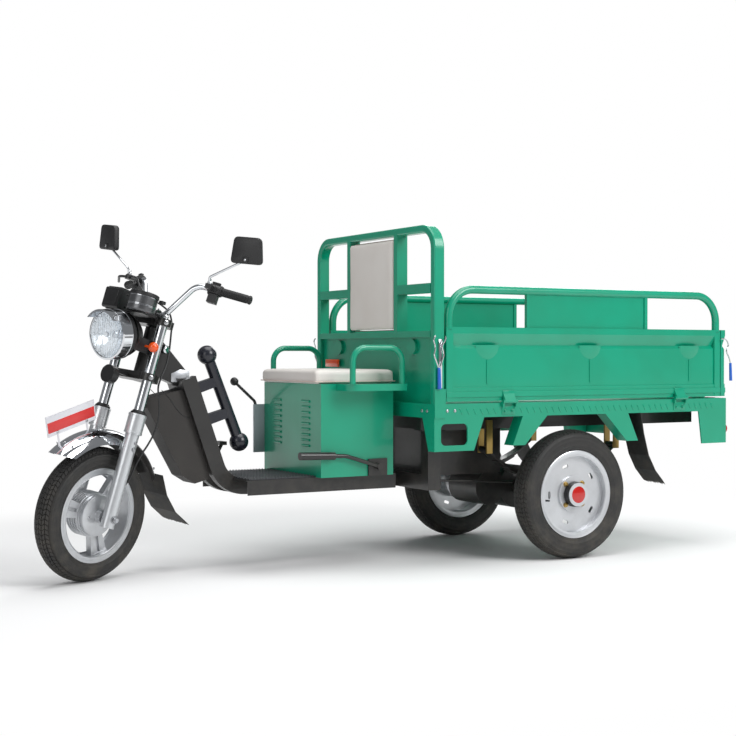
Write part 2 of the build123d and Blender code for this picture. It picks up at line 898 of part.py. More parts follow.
def main_frame():
    middle = floor_top - floor_sheet - rail_height / 2
    bottom_x = neck_middle_x(middle)
    route = FilletPolyline((rail_rear, 0, middle), (bottom_x, 0, middle),
                           (neck_middle_x(neck_top), 0, neck_top), radius=neck_bend)
    section = Plane(origin=route @ 0, x_dir=(0, 1, 0), z_dir=(1, 0, 0)) * Rectangle(rail_width, rail_height)
    tube = sweep(section, path=route)
    frame = Part()
    for side in (-neck_spread, neck_spread):
        frame += Pos(0, side, 0) * tube
    head_low = lower_yoke_height + yoke_thickness / 2 + moving_gap / 2
    head_high = top_yoke_height - yoke_thickness / 2 - moving_gap / 2
    head_radius = stem_radius + head_tube_wall
    head = straight_place * Pos(0, 0, (head_low + head_high) / 2) * Cylinder(
        head_radius, head_high - head_low)
    web_low = neck_top - neck_web_height
    bridge = side_slab([
        (neck_rear_x(web_low), web_low),
        (neck_front_x(web_low), web_low),
        (neck_front_x(neck_top), neck_top),
        (neck_rear_x(neck_top), neck_top),
    ], -neck_spread, neck_spread)
    frame += bridge
    low_end = (straight_place * Pos(0, 0, head_low + head_tube_wall)).position
    high_end = (straight_place * Pos(0, 0, head_high - head_tube_wall)).position
    gusset = side_slab([
        (neck_middle_x(neck_top) - rail_width / 2, neck_top - rail_height),
        (neck_middle_x(neck_top) + rail_width / 2, neck_top - rail_height / 2),
        (low_end.X, low_end.Z),
        (high_end.X, high_end.Z),
        (neck_middle_x(neck_top) - rail_width / 4, neck_top + rail_height / 2),
    ], -gusset_width / 2, gusset_width / 2)
    frame += gusset + head
    bore = straight_place * Pos(0, 0, (head_low + head_high) / 2) * Cylinder(
        stem_radius + running_gap, head_high - head_low + overrun)
    frame -= bore
    for side in (-1, 1):
        y = side * leaf_side
        half = bed_rail_width / 2
        front = bulkhead_front - sill_width - touch_gap
        frame += block((bed_rear + cross_width, y - half, bed_rail_low), (front, y + half, bed_rail_top))
        frame += block((rail_rear, y - half, middle - rail_height / 2),
                       (rail_rear + rail_height, y + half, bed_rail_top))
    frame += block((rail_rear, -leaf_side, middle - rail_height / 2),
                   (rail_rear + rail_height, leaf_side, middle + rail_height / 2))
    for x in (rail_rear, bed_rear + cross_width):
        frame += block((x, -leaf_side, bed_rail_low), (x + rail_width, leaf_side, bed_rail_top))
    return frame


def neck_cover():
    outline = [
        (neck_front_x(cover_low + cover_bend) + touch_gap, cover_low + cover_bend),
        (cover_heel, cover_low + cover_bend / 4),
        (cover_heel + cover_bend, cover_low),
        (cover_toe, cover_low + cover_bend / 2),
        (cover_front, cover_shoulder),
        (cover_front - cover_bend / 8, cover_top - cover_bend / 2),
        (neck_front_x(cover_top) + touch_gap, cover_top),
    ]
    return side_slab(outline, -cover_half_width, cover_half_width)


def knee_bar():
    high = (knee_ball_top[0], 0, knee_ball_top[1])
    low = (knee_ball_low[0], 0, knee_ball_low[1])
    bar = rod(low, high, knee_bar_radius)
    bar += Pos(*high) * Sphere(knee_ball_radius) + Pos(*low) * Sphere(knee_ball_radius)
    slope = (knee_ball_top[0] - knee_ball_low[0]) / (knee_ball_top[1] - knee_ball_low[1])
    for share in knee_bracket_share:
        level = knee_ball_low[1] + share * (knee_ball_top[1] - knee_ball_low[1])
        bar_x = knee_ball_low[0] + slope * (level - knee_ball_low[1])
        foot = level - knee_bracket_drop
        bar += side_slab([
            (bar_x, level - knee_bracket_height / 2),
            (neck_rear_x(foot - knee_bracket_height / 2) - touch_gap, foot - knee_bracket_height / 2),
            (neck_rear_x(foot + knee_bracket_height / 2) - touch_gap, foot + knee_bracket_height / 2),
            (bar_x, level + knee_bracket_height / 2),
        ], -knee_bracket_width / 2, knee_bracket_width / 2)
    return bar


def neck_notch():
    """Room in the floor for the neck tubes where they bend upwards."""
    middle = floor_top - floor_sheet - rail_height / 2
    bend_start = neck_middle_x(middle) - neck_bend * math.tan(math.radians(90 - neck_lean) / 2)
    side = neck_spread + rail_width / 2 + touch_gap
    return block((bend_start, -side, floor_top - rail_height),
                 (floor_front + overrun, side, floor_top + overrun))


def floor_plate():
    plate = block((floor_rear, -floor_half_width, floor_top - floor_sheet),
                  (floor_front, floor_half_width, floor_top))
    for side in (-1, 1):
        inner = side * (floor_half_width - floor_sheet)
        outer = side * floor_half_width
        plate += block((floor_rear, min(inner, outer), floor_top - floor_lip),
                       (floor_front, max(inner, outer), floor_top))
    return plate - neck_notch()


# Seat: floor mat, box, tray, cushion and arm loops
def floor_mat():
    side = floor_half_width - mat_sheet
    mat = block((box_front + touch_gap, -side, floor_top),
                (floor_front - mat_sheet, side, floor_top + mat_sheet))
    return mat - neck_notch()


def driver_box():
    body = block((box_rear, -box_half_width, floor_top), (box_front, box_half_width, box_top))
    for share in louvre_columns_share:
        for row in range(louvre_count):
            height = louvre_low + row * louvre_pitch
            slat = Rot(90, 0, 0) * Cylinder(louvre_depth, louvre_length)
            body += Pos(box_front, share * box_half_width, height) * slat
    return body


def seat_tray():
    wide = Pos((tray_front + box_rear) / 2, 0) * Rectangle(tray_front - box_rear, 2 * tray_half_width)
    wide = fillet(wide.vertices().group_by(Axis.X)[-1], tray_round)
    narrow = Pos((box_front + box_rear) / 2, 0) * Rectangle(box_front - box_rear, 2 * box_half_width)
    return Pos(0, 0, box_top) * extrude(wide + narrow, amount=tray_height)


def seat_cushion():
    low = box_top + tray_height + touch_gap
    pad = block((cushion_rear, -cushion_half_width, low), (cushion_front, cushion_half_width, cushion_top))
    return fillet(pad.edges().filter_by(Axis.Z), cushion_round)


def arm_loops():
    base = box_top + tray_height
    points = [
        (loop_rear, loop_side, base),
        (loop_rear, loop_side, loop_top),
        (loop_front, loop_side, loop_top),
        (loop_front, loop_side, base),
    ]
    return pair(bent_rod(points, loop_bend, loop_radius))


# Bulkhead
def bulkhead_frame():
    foot = floor_level - liner_sheet
    rise = bulkhead_top - foot
    middle = foot + rise / 2
    outer = Pos(0, middle) * Rectangle(2 * bulkhead_half_width, rise)
    outer = fillet(outer.vertices().group_by(Axis.Y)[-1], bulkhead_round)
    inner_half = bulkhead_half_width - bulkhead_tube
    inner = Pos(0, middle - bulkhead_tube) * Rectangle(2 * inner_half, rise)
    inner = fillet(inner.vertices().group_by(Axis.Y)[-1], bulkhead_round - bulkhead_tube)
    hoop = extrude(Plane.YZ * (outer - inner), amount=bulkhead_depth)
    rounded = hoop.edges().group_by(Axis.X)[0] + hoop.edges().group_by(Axis.X)[-1]
    hoop = fillet([edge for edge in rounded if edge.center().Z > foot + edge_round], edge_round)
    rails = Pos(0, lower_rail_top - lower_rail_height / 2) * Rectangle(2 * inner_half, lower_rail_height)
    post = pad_half_width + touch_gap + back_post_width / 2
    post_rise = bulkhead_top - bulkhead_tube / 2 - lower_rail_top
    mid_half = (inner_half - post) / 2
    for side in (-1, 1):
        rails += Pos(side * post, lower_rail_top + post_rise / 2) * Rectangle(back_post_width, post_rise)
        rails += Pos(side * (post + mid_half), mid_rail_top - mid_rail_height / 2) * Rectangle(
            2 * mid_half, mid_rail_height)
    rear = bulkhead_front - bulkhead_depth
    return Pos(rear, 0, 0) * (hoop + extrude(Plane.YZ * rails, amount=bulkhead_depth))


def bulkhead_panel():
    side = bulkhead_half_width - bulkhead_tube
    rear = bulkhead_front - bulkhead_depth / 2 - panel_sheet
    front = rear + 2 * panel_sheet
    top = lower_rail_top - lower_rail_height
    panel = block((rear, -side, floor_level - liner_sheet), (front, side, top))
    for middle in (-boss_side, boss_side):
        panel += Pos(front, middle, boss_level) * Rot(0, 90, 0) * Cylinder(boss_radius, 2 * boss_height)
    return panel


def backrest():
    rear = bulkhead_front - pad_recess
    return block((rear, -pad_half_width, pad_low), (rear + pad_thickness, pad_half_width, pad_top))


# Cargo bed
gate_front = bulkhead_front - post_width - moving_gap
gate_rear = bed_rear + gate_thickness + moving_gap
gate_low = floor_level + moving_gap
gate_top = floor_level + gate_height
hinge_level = floor_level + hinge_rise
hinge_side = bed_half_width + hinge_out
tail_hinge_x = bed_rear - tail_hinge_out
plate_low = floor_level - bed_sheet
sill_low = floor_level - sill_height


def bed_floor():
    plate = block((bed_rear, -bed_half_width, plate_low),
                  (bulkhead_front, bed_half_width, floor_level - liner_sheet))
    side = bed_half_width - gate_thickness - liner_gap
    plate += block((bed_rear + gate_thickness + liner_gap, -side, plate_low),
                   (bulkhead_front - bulkhead_depth - liner_gap, side, floor_level))
    inner = bed_half_width - sill_width
    span = (bulkhead_front - bed_rear - 2 * sill_width) / (cross_count + 1)
    for number in range(1, cross_count + 1):
        x = bed_rear + sill_width + number * span
        plate += block((x - cross_width / 2, -inner, plate_low - cross_height),
                       (x + cross_width / 2, inner, plate_low))
    return plate


def hinge_ears(place):
    """Ears and pin of one hinge, with the pin along local X and the sill towards local -Y."""
    reach = hinge_length / 2 + hinge_play
    ears = Rot(0, 90, 0) * Cylinder(hinge_pin_radius, 2 * (reach + hinge_radius))
    for side in (-1, 1):
        middle = side * (reach + hinge_radius / 2)
        ears += Pos(middle, 0, 0) * Rot(0, 90, 0) * Cylinder(hinge_radius, hinge_radius)
    return place * ears


def hinge_barrel(place, out):
    """Barrel and leaf of one hinge on a gate's foot."""
    leaf = Pos(-hinge_length / 2, 0, 0) * extrude(Plane.YZ * make_face(Polyline(
        (-out, gate_low - hinge_level), (-out, gate_low - hinge_level + 2 * hinge_out),
        (hinge_pin_radius - out, gate_low - hinge_level + 2 * hinge_out),
        (hinge_radius, 0), (0, 0), close=True)), amount=hinge_length)
    barrel = Rot(0, 90, 0) * Cylinder(hinge_radius, hinge_length)
    hole = Rot(0, 90, 0) * Cylinder(hinge_pin_radius + running_gap, 2 * hinge_length)
    return place * (leaf + barrel - hole)


def side_hinges():
    """Places of the left gate's hinges."""
    length = gate_front - gate_rear
    return [Pos(gate_front - share * length, hinge_side, hinge_level) for share in hinge_places_share]


def tail_hinges():
    """Places of the tailgate's hinges: local Y points backwards."""
    return [
        Pos(tail_hinge_x, side * bed_half_width, hinge_level) * Rot(0, 0, 90)
        for side in tail_hinges_share
    ]


def bed_sills():
    sill = block((bed_rear, bed_half_width - sill_width, sill_low),
                 (bulkhead_front, bed_half_width, plate_low))
    sill += block((bulkhead_front - post_width, bed_half_width, sill_low),
                  (bulkhead_front, bed_half_width + panel_sheet, post_top))
    for place in side_hinges():
        sill += hinge_ears(place)
        reach = hinge_length / 2 + hinge_play
        for side in (-1, 1):
            x = place.position.X + side * (reach + hinge_radius / 2)
            sill += block((x - hinge_radius / 2, bed_half_width, hinge_level - 3 * hinge_radius),
                          (x + hinge_radius / 2, hinge_side, hinge_level))
    ring = sill + mirror(sill, about=Plane.XZ)
    inner = bed_half_width - sill_width
    ring += block((bed_rear, -inner, sill_low), (bed_rear + sill_width, inner, plate_low))
    ring += block((bulkhead_front - sill_width, -inner, sill_low), (bulkhead_front, inner, plate_low))
    for place in tail_hinges():
        ring += hinge_ears(place)
        reach = hinge_length / 2 + hinge_play
        for side in (-1, 1):
            y = place.position.Y + side * (reach + hinge_radius / 2)
            ring += block((tail_hinge_x, y - hinge_radius / 2, hinge_level - 3 * hinge_radius),
                          (bed_rear, y + hinge_radius / 2, hinge_level))
    return ring


def gate_profile(thickness):
    """Section of a gate's pressed wall: (outwards from its inner face, height)."""
    skin = panel_sheet
    bead_low = gate_low + gate_bead_rise
    bead_top = bead_low + gate_bead_height
    recess_low = gate_top - gate_recess_low
    return [
        (0, gate_low),
        (thickness - skin, gate_low),
        (thickness - skin, bead_low),
        (thickness, bead_low + skin / 2),
        (thickness, bead_top - skin / 2),
        (thickness - skin, bead_top),
        (thickness - skin, bead_top + gate_bead_rise),
        (thickness - 2 * skin, bead_top + gate_bead_rise + skin / 2),
        (thickness - 2 * skin, recess_low - gate_bead_rise),
        (thickness - recess_depth, recess_low),
        (thickness - skin / 2, gate_top - gate_rail_height),
        (thickness - skin / 2, gate_top),
        (0, gate_top),
    ]


def wall_pressing():
    """A half-round pressing under the recess with its rib, on a face that looks to +Y at Y = 0."""
    dome = (emboss_radius ** 2 + emboss_height ** 2) / (2 * emboss_height)
    cap = Pos(0, emboss_height - dome, 0) * Sphere(dome)
    cap &= block((-emboss_radius, -touch_gap, -emboss_radius), (emboss_radius, emboss_height, 0))
    rib = block((-rib_half_width, -touch_gap, -rib_low), (rib_half_width, rib_height, -rib_top))
    return cap + rib


def side_gate():
    inner = bed_half_width - gate_thickness
    profile = [(inner + out, height) for out, height in gate_profile(gate_thickness)]
    gate = cross_slab(profile, gate_rear, gate_front)
    for low, high in ((gate_rear, gate_rear + gate_post), (gate_front - gate_post, gate_front)):
        gate += block((low, inner, gate_low), (high, bed_half_width - panel_sheet / 2, gate_top))
    length = gate_front - gate_rear
    for share in emboss_places_share:
        place = Pos(gate_front - share * length, bed_half_width - 2 * panel_sheet, gate_top - gate_recess_low)
        gate += place * wall_pressing()
    middle = inner + gate_thickness / 2
    foot = gate_top - hoop_radius / 2
    rear = gate_rear + hoop_radius
    front = gate_front - hoop_radius
    crest = hoop_top - hoop_radius
    points = [(rear, middle, foot), (rear, middle, crest), (front, middle, crest), (front, middle, foot)]
    gate += bent_rod(points, hoop_bend, hoop_radius)
    gate += block((sign_rear, middle - sign_sheet / 2, foot), (sign_front, middle + sign_sheet / 2, crest))
    for x in (sign_rear, sign_front):
        gate += block((x - hoop_radius / 2, middle - hoop_radius / 2, foot),
                      (x + hoop_radius / 2, middle + hoop_radius / 2, crest))
    for place in side_hinges():
        gate += hinge_barrel(place, hinge_out)
    return gate


def tailgate():
    inner = bed_rear + gate_thickness
    half = bed_half_width - panel_sheet
    profile = [(-out, height) for out, height in gate_profile(gate_thickness)]
    face = make_face(Polyline(*profile, close=True))
    gate = Pos(inner, half, 0) * extrude(Plane.XZ * face, amount=2 * half)
    for place in tail_hinges():
        gate += hinge_barrel(place, tail_hinge_out)
    return gate


def gate_latches():
    x = bulkhead_front - post_width / 2
    low = (x - panel_sheet, bed_half_width - touch_gap, post_top + panel_sheet)
    high = (x + panel_sheet, bed_half_width + 3 * panel_sheet, gate_top - 12 * panel_sheet)
    return pair(block(low, high))


# Steps, brackets and skirts under the bed
def front_step():
    side = bed_half_width
    foot = sill_low - step_depth
    plate = side_slab([
        (bulkhead_front, sill_low), (bulkhead_front - step_length, sill_low),
        (bulkhead_front - step_bottom_length, foot), (bulkhead_front, foot),
    ], side - step_sheet, side)
    window = Pos(bulkhead_front - step_bottom_length / 2, (sill_low + foot) / 2) * Rectangle(
        window_length, window_height)
    window = fillet(window.vertices(), window_round)
    plate -= Pos(0, side + overrun, 0) * extrude(Plane.XZ * window, amount=step_sheet + 2 * overrun)
    plate += cross_slab([
        (side, sill_low), (side, foot), (side - step_depth / 3, foot), (side - step_depth * 2 / 3, sill_low),
    ], bulkhead_front - step_sheet, bulkhead_front)
    return plate


def sill_bracket(front, lean):
    """A tapered bracket under the sill, from its front corner, its foot set back by the lean."""
    foot = sill_low - bracket_height
    outline = [
        (front, sill_low), (front - bracket_top_length, sill_low),
        (front - bracket_top_length - lean, foot),
        (front - bracket_top_length - lean + bracket_foot_length, foot),
    ]
    return side_slab(outline, bed_half_width - bracket_width, bed_half_width)


def rear_skirt():
    foot = sill_low - rear_skirt_height
    side = bed_half_width
    plate = side_slab([
        (bed_rear, sill_low), (bed_rear + rear_skirt_length, sill_low),
        (bed_rear + rear_skirt_foot, foot), (bed_rear, foot),
    ], side - step_sheet, side)
    plate += block((bed_rear, side - rear_skirt_foot, foot), (bed_rear + step_sheet, side, sill_low))
    return plate


def bed_brackets():
    pieces = pair(front_step()) + pair(rear_skirt())
    for front, lean in zip(bracket_fronts, bracket_leans):
        pieces += pair(sill_bracket(front, lean))
    return pieces


def tail_lamps():
    place = Pos(bed_rear - tail_lamp_length / 2, bed_half_width - 2 * tail_lamp_radius, tail_lamp_level)
    return pair(place * Rot(0, 90, 0) * Cylinder(tail_lamp_radius, tail_lamp_length))


def battery_box():
    length, width, height = battery_size
    top = bed_rail_low - touch_gap
    case = block((battery_front - length, -width / 2, top - height), (battery_front, width / 2, top))
    return case + block((battery_front - length / 3, -leaf_side, top - bed_sheet),
                        (battery_front, leaf_side, top))


# Rear wheels, axle and springs
def rear_tyre():
    half = rear_rim_width / 2 - rim_wall
    side = rear_tyre_width / 2
    shoulder = (rear_tyre_radius - rear_shoulder_drop, rear_tread_half)
    wall_middle = ((rear_rim_radius + shoulder[0]) / 2, side)
    points = [
        (rear_rim_radius, half), (rear_seat_radius, half),
        (rear_seat_radius, -half), (rear_rim_radius, -half),
    ]
    edges = Polyline(*points).edges()
    edges += ThreePointArc((shoulder[0], -shoulder[1]), (rear_tyre_radius, 0), shoulder).edges()
    edges += ThreePointArc(shoulder, wall_middle, points[0]).edges()
    edges += ThreePointArc((shoulder[0], -shoulder[1]), (wall_middle[0], -side), points[-1]).edges()
    return revolve(make_face(edges), axis=Axis.Y)


def rear_wheel():
    wheel = rim_ring(rear_seat_radius, rear_rim_radius, rear_rim_width)
    wheel += cylinder_y(rear_seat_radius - rim_wall / 2, disc_out, disc_out + disc_sheet)
    wheel += cylinder_y(hub_ring_radius, disc_out, disc_out + hub_ring_height)
    wheel += cylinder_y(cap_radius, disc_out, disc_out + cap_length)
    slot_length, slot_height = slot_size
    for number in range(slot_count):
        slot = Rot(90, 0, 0) * extrude(SlotOverall(slot_length, slot_height), amount=overrun, both=True)
        place = Rot(0, number * 360 / slot_count, 0) * Pos(slot_radius, disc_out, 0) * Rot(0, 90, 0)
        wheel -= place * slot
    wheel += cylinder_y(drum_radius, disc_out - drum_width - overrun, disc_out)
    bore = cylinder_y(half_shaft_radius + running_gap, -rear_tyre_width, disc_out + cap_length - 2 * rim_wall)
    return wheel - bore


axle_place = Pos(0, 0, rear_tyre_radius)
left_wheel_place = Pos(0, rear_track / 2, rear_tyre_radius)


def rear_axle():
    housing_end = rear_track / 2 + disc_out - drum_width - overrun - moving_gap / 2
    shaft_end = rear_track / 2 + disc_out + cap_length - 3 * rim_wall
    axle = cylinder_y(tube_axle_radius, -housing_end, housing_end)
    axle += cylinder_y(half_shaft_radius, -shaft_end, shaft_end)
    axle += cylinder_y(diff_radius, -diff_width / 2, diff_width / 2)
    motor_x = diff_radius + motor_radius * 2 / 3
    axle += Pos(motor_x, 0, 0) * cylinder_y(motor_radius, -motor_length / 2 - diff_width / 2, diff_width / 2)
    return axle_place * axle


def leaf_springs():
    rise = leaf_camber / leaf_half_length ** 2
    base = rear_tyre_radius + tube_axle_radius
    top = base + (leaf_count - 1) * leaf_sheet
    pack = Part()
    for number in range(leaf_count):
        half = leaf_half_length * (1 - leaf_step_share * number)
        low = top - number * leaf_sheet
        end = low + rise * half ** 2
        under = ThreePointArc((-half, end), (0, low), (half, end))
        over = ThreePointArc((-half, end + leaf_sheet), (0, low + leaf_sheet), (half, end + leaf_sheet))
        edges = under.edges() + over.edges()
        edges += Line(under @ 0, over @ 0).edges() + Line(under @ 1, over @ 1).edges()
        leaf = Plane.XZ * make_face(edges)
        pack += Pos(0, leaf_side + leaf_width / 2, 0) * extrude(leaf, amount=leaf_width)
    eye_level = top + leaf_camber + leaf_sheet
    for end in (-leaf_half_length, leaf_half_length):
        pack += Pos(end, leaf_side, eye_level) * Rot(90, 0, 0) * Cylinder(2 * leaf_sheet, leaf_width)
    return pair(pack)


def spring_shackles():
    eye_level = rear_tyre_radius + tube_axle_radius + leaf_count * leaf_sheet + leaf_camber
    plates = []
    for end in (-leaf_half_length, leaf_half_length):
        for side in (-1, 1):
            inner = leaf_side + side * (leaf_width / 2 + touch_gap)
            outer = inner + side * shackle_sheet
            low = (end - 2 * leaf_sheet, min(inner, outer), eye_level - 2 * leaf_sheet)
            high = (end + 2 * leaf_sheet, max(inner, outer), bed_rail_low + bed_rail_height / 2)
            plates += pair(block(low, high))
    return plates


# Hand and foot controls on the frame
def gear_lever():
    side = -box_half_width - touch_gap
    plate = block((box_front - gear_plate_rear, side - gear_plate_sheet, gear_plate_low),
                  (box_front + gear_plate_front, side, gear_plate_top))
    pivot = Vector(box_front + gear_stalk_out, side - gear_plate_sheet, (gear_plate_low + gear_plate_top) / 2)
    elbow = pivot + Vector(lever_out, 0, gear_stalk_rise)
    knob = (gear_knob[0], side - gear_plate_sheet, gear_knob[1])
    stalk = bent_rod([tuple(pivot), tuple(elbow), knob], gear_bend, gear_stalk_radius)
    return plate + stalk + Pos(*knob) * Sphere(gear_knob_radius)


def brake_pedal():
    foot = Vector(pedal_foot, -pedal_side, floor_top + mat_sheet + touch_gap)
    knee = foot + Vector(0, 0, pedal_knee_rise)
    toe = knee + Vector(-pedal_back, 0, pedal_toe_rise)
    arm = bent_rod([tuple(foot), tuple(knee), tuple(toe)], pedal_bend, pedal_radius)
    low = (toe.X - pedal_radius, -pedal_side - pedal_half_width, toe.Z - pedal_radius)
    high = (toe.X + pedal_length, -pedal_side + pedal_half_width, toe.Z + pedal_radius)
    return arm + block(low, high)


def parking_lever():
    """Lever with its grip beside the box, its quadrant, and the rods to the rear brakes."""
    side = box_half_width + touch_gap
    base_low = (hand_base[0], side, floor_top)
    base_high = (hand_base[0] + hand_base_length, side + hand_sheet, floor_top + hand_base_height)
    pivot = Vector(hand_base[0] + hand_base_length / 2, side + hand_out, hand_base[1])
    elbow = pivot + Vector(hand_run, 0, hand_rise)
    tip = elbow + Vector(hand_grip_length, 0, hand_grip_rise)
    core = elbow + (tip - elbow) / 2
    arm = bent_rod([tuple(pivot), tuple(elbow), tuple(core)], hand_bend, hand_radius)
    arm += rod(tuple(elbow + (tip - elbow) / 4), tuple(tip), hand_grip_radius)
    arm += rod((pivot.X, side + hand_sheet / 2, pivot.Z),
               (pivot.X, side + hand_out + hand_radius + touch_gap, pivot.Z),
               hand_pivot_radius)
    rail_middle = floor_top - floor_sheet - rail_height / 2
    pull = rod((rail_rear - touch_gap, rod_side, rail_middle),
               (axle_clear, rod_side, rod_rear_height), pull_radius)
    return [block(base_low, base_high) + arm] + pair(pull)


def rear_flaps():
    low = sill_low - touch_gap
    front = [(rear_flap_front - out, low - drop) for out, drop in zip(rear_flap_outs, rear_flap_drops)]
    rear = [(x - flap_sheet, z) for x, z in reversed(front)]
    side = rear_track / 2
    return pair(side_slab(front + rear, side - rear_flap_width / 2, side + rear_flap_width / 2))


nodes = {
    "front_tyre": wheel_place * front_tyre(),
    "front_wheel": wheel_place * front_wheel(),
    "brake_plate": wheel_place * brake_plate(),
    "fork_sliders": fork_sliders(),
    "fork_tubes": fork_tubes(),
    "fork_yokes": fork_yokes(),
    "handlebar": handlebar(),
    "handlebar_grips": handlebar_grips(),
    "handlebar_controls": handlebar_controls(),
    "mirrors": mirrors(),
    "headlamp_shell": headlamp_shell(),
    "headlamp_rim": headlamp_rim(),
    "headlamp_lens": headlamp_lens(),
    "horn": horn(),
    "turn_signals": turn_signals(),
    "instrument_box": instrument_box(),
    "gauge": gauge(),
    "front_fender": front_fender(),
    "fender_rear": fender_rear(),
    "front_flap": front_flap(),
    "number_plate": number_plate(),
    "brake_cable": brake_cable(),
    "main_frame": main_frame(),
    "neck_cover": neck_cover(),
    "knee_bar": knee_bar(),
    "floor_plate": floor_plate(),
    "floor_mat": floor_mat(),
    "driver_box": driver_box(),
    "seat_tray": seat_tray(),
    "seat_cushion": seat_cushion(),
    "arm_loops": arm_loops(),
    "bulkhead_frame": bulkhead_frame(),
    "bulkhead_panel": bulkhead_panel(),
    "backrest": backrest(),
    "bed_floor": bed_floor(),
    "bed_sills": bed_sills(),
    "left_gate": side_gate(),
    "right_gate": mirror(side_gate(), about=Plane.XZ),
    "tailgate": tailgate(),
    "gate_latches": gate_latches(),
    "bed_brackets": bed_brackets(),
    "tail_lamps": tail_lamps(),
    "battery_box": battery_box(),
    "left_tyre": left_wheel_place * rear_tyre(),
    "left_wheel": left_wheel_place * rear_wheel(),
    "right_tyre": mirror(left_wheel_place * rear_tyre(), about=Plane.XZ),
    "right_wheel": mirror(left_wheel_place * rear_wheel(), about=Plane.XZ),
    "rear_axle": rear_axle(),
    "leaf_springs": leaf_springs(),
    "spring_shackles": spring_shackles(),
    "gear_lever": gear_lever(),
    "brake_pedal": brake_pedal(),
    "parking_lever": parking_lever(),
    "rear_flaps": rear_flaps(),
}

solids = {name: shape if isinstance(shape, list) else [shape] for name, shape in nodes.items()}
corners = [piece.bounding_box() for pieces in solids.values() for piece in pieces]
front_end = max(corner.max.X for corner in corners)
rear_end = min(corner.min.X for corner in corners)
middle_x = (front_end + rear_end) / 2
shift = Pos(-middle_x, 0, 0)
print("length", front_end - rear_end, "middle", middle_x)
for name, pieces in solids.items():
    export_step(Compound(children=[shift * piece for piece in pieces]), f"parts/{name}.step")
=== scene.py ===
"""Looks of an electric cargo tricycle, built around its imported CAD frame."""

from __future__ import annotations

import logging
import math
from collections.abc import Sequence
from dataclasses import dataclass, field
from enum import Enum

import bmesh
import bpy
from mathutils import Matrix, Vector

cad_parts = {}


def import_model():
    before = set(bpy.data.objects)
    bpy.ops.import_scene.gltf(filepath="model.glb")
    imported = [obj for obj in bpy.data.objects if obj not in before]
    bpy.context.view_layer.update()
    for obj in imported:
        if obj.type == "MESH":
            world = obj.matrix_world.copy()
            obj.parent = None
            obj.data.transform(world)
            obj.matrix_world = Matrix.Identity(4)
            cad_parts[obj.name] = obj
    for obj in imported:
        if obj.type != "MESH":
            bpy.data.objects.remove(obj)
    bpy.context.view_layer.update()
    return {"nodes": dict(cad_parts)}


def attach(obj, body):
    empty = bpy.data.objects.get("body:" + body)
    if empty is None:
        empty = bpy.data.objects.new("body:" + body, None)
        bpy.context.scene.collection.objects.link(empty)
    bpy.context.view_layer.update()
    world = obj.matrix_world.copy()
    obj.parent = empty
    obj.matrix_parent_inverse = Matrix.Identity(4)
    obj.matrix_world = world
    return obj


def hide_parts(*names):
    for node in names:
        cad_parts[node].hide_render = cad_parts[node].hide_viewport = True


LOG = logging.getLogger("tricycle")
Point = tuple[float, float, float]
Colour = tuple[float, float, float]

MIDDLE = 0.641138
WHEELBASE = 1.897
RAKE = math.radians(16.5)
REST_TURN = math.radians(24.0)
FORK_OFFSET = 0.045
FOOT = (WHEELBASE - FORK_OFFSET * math.cos(RAKE) - MIDDLE, 0.0, 0.236975)
SHARP_EDGE = math.radians(32.0)
FULL_TURN = 2.0 * math.pi
HALF_LEG = 0.095
TOP_YOKE = 0.742
LOWER_YOKE = 0.532
LAMP_LEVEL = 0.640
REAR_AXLE = Vector((-MIDDLE, 0.0, 0.263))
HALF_TRACK = 0.42
UP = (0.0, 0.0, 1.0)
LEFT = (0.0, 1.0, 0.0)
AHEAD = (1.0, 0.0, 0.0)
LAMP_AHEAD = 0.165

STRAIGHT = Matrix.Translation(FOOT) @ Matrix.Rotation(-RAKE, 4, "Y")
STEER = STRAIGHT @ Matrix.Rotation(REST_TURN, 4, "Z")
FRONT_WHEEL = STEER @ Matrix.Translation((FORK_OFFSET, 0.0, 0.0))
UPRIGHT = FRONT_WHEEL @ Matrix.Rotation(RAKE, 4, "Y")
LAMP = (STEER @ Matrix.Translation((FORK_OFFSET + LAMP_AHEAD, 0.0, LAMP_LEVEL))
        @ Matrix.Rotation(RAKE, 4, "Y"))


class Body(Enum):
    """Moving bodies of the frame."""

    CHASSIS = "chassis"
    STEERING = "steering"
    FRONT_WHEEL = "front_wheel"
    REAR_LEFT = "rear_left_wheel"
    REAR_RIGHT = "rear_right_wheel"
    LEFT_GATE = "left_gate"
    RIGHT_GATE = "right_gate"
    TAILGATE = "tailgate"


class Grain(Enum):
    """Fine surface of a finish."""

    ENAMEL = "enamel"
    CAST = "cast"
    BRUSHED = "brushed"
    MOULDED = "moulded"
    LEATHER = "leather"
    POLISHED = "polished"


def linear(red: int, green: int, blue: int) -> Colour:
    """Turns a screen colour of 0 to 255 into a linear one."""
    shares = [value / 255.0 for value in (red, green, blue)]
    return tuple(s / 12.92 if s <= 0.04045 else ((s + 0.055) / 1.055) ** 2.4 for s in shares)


# Shader maths


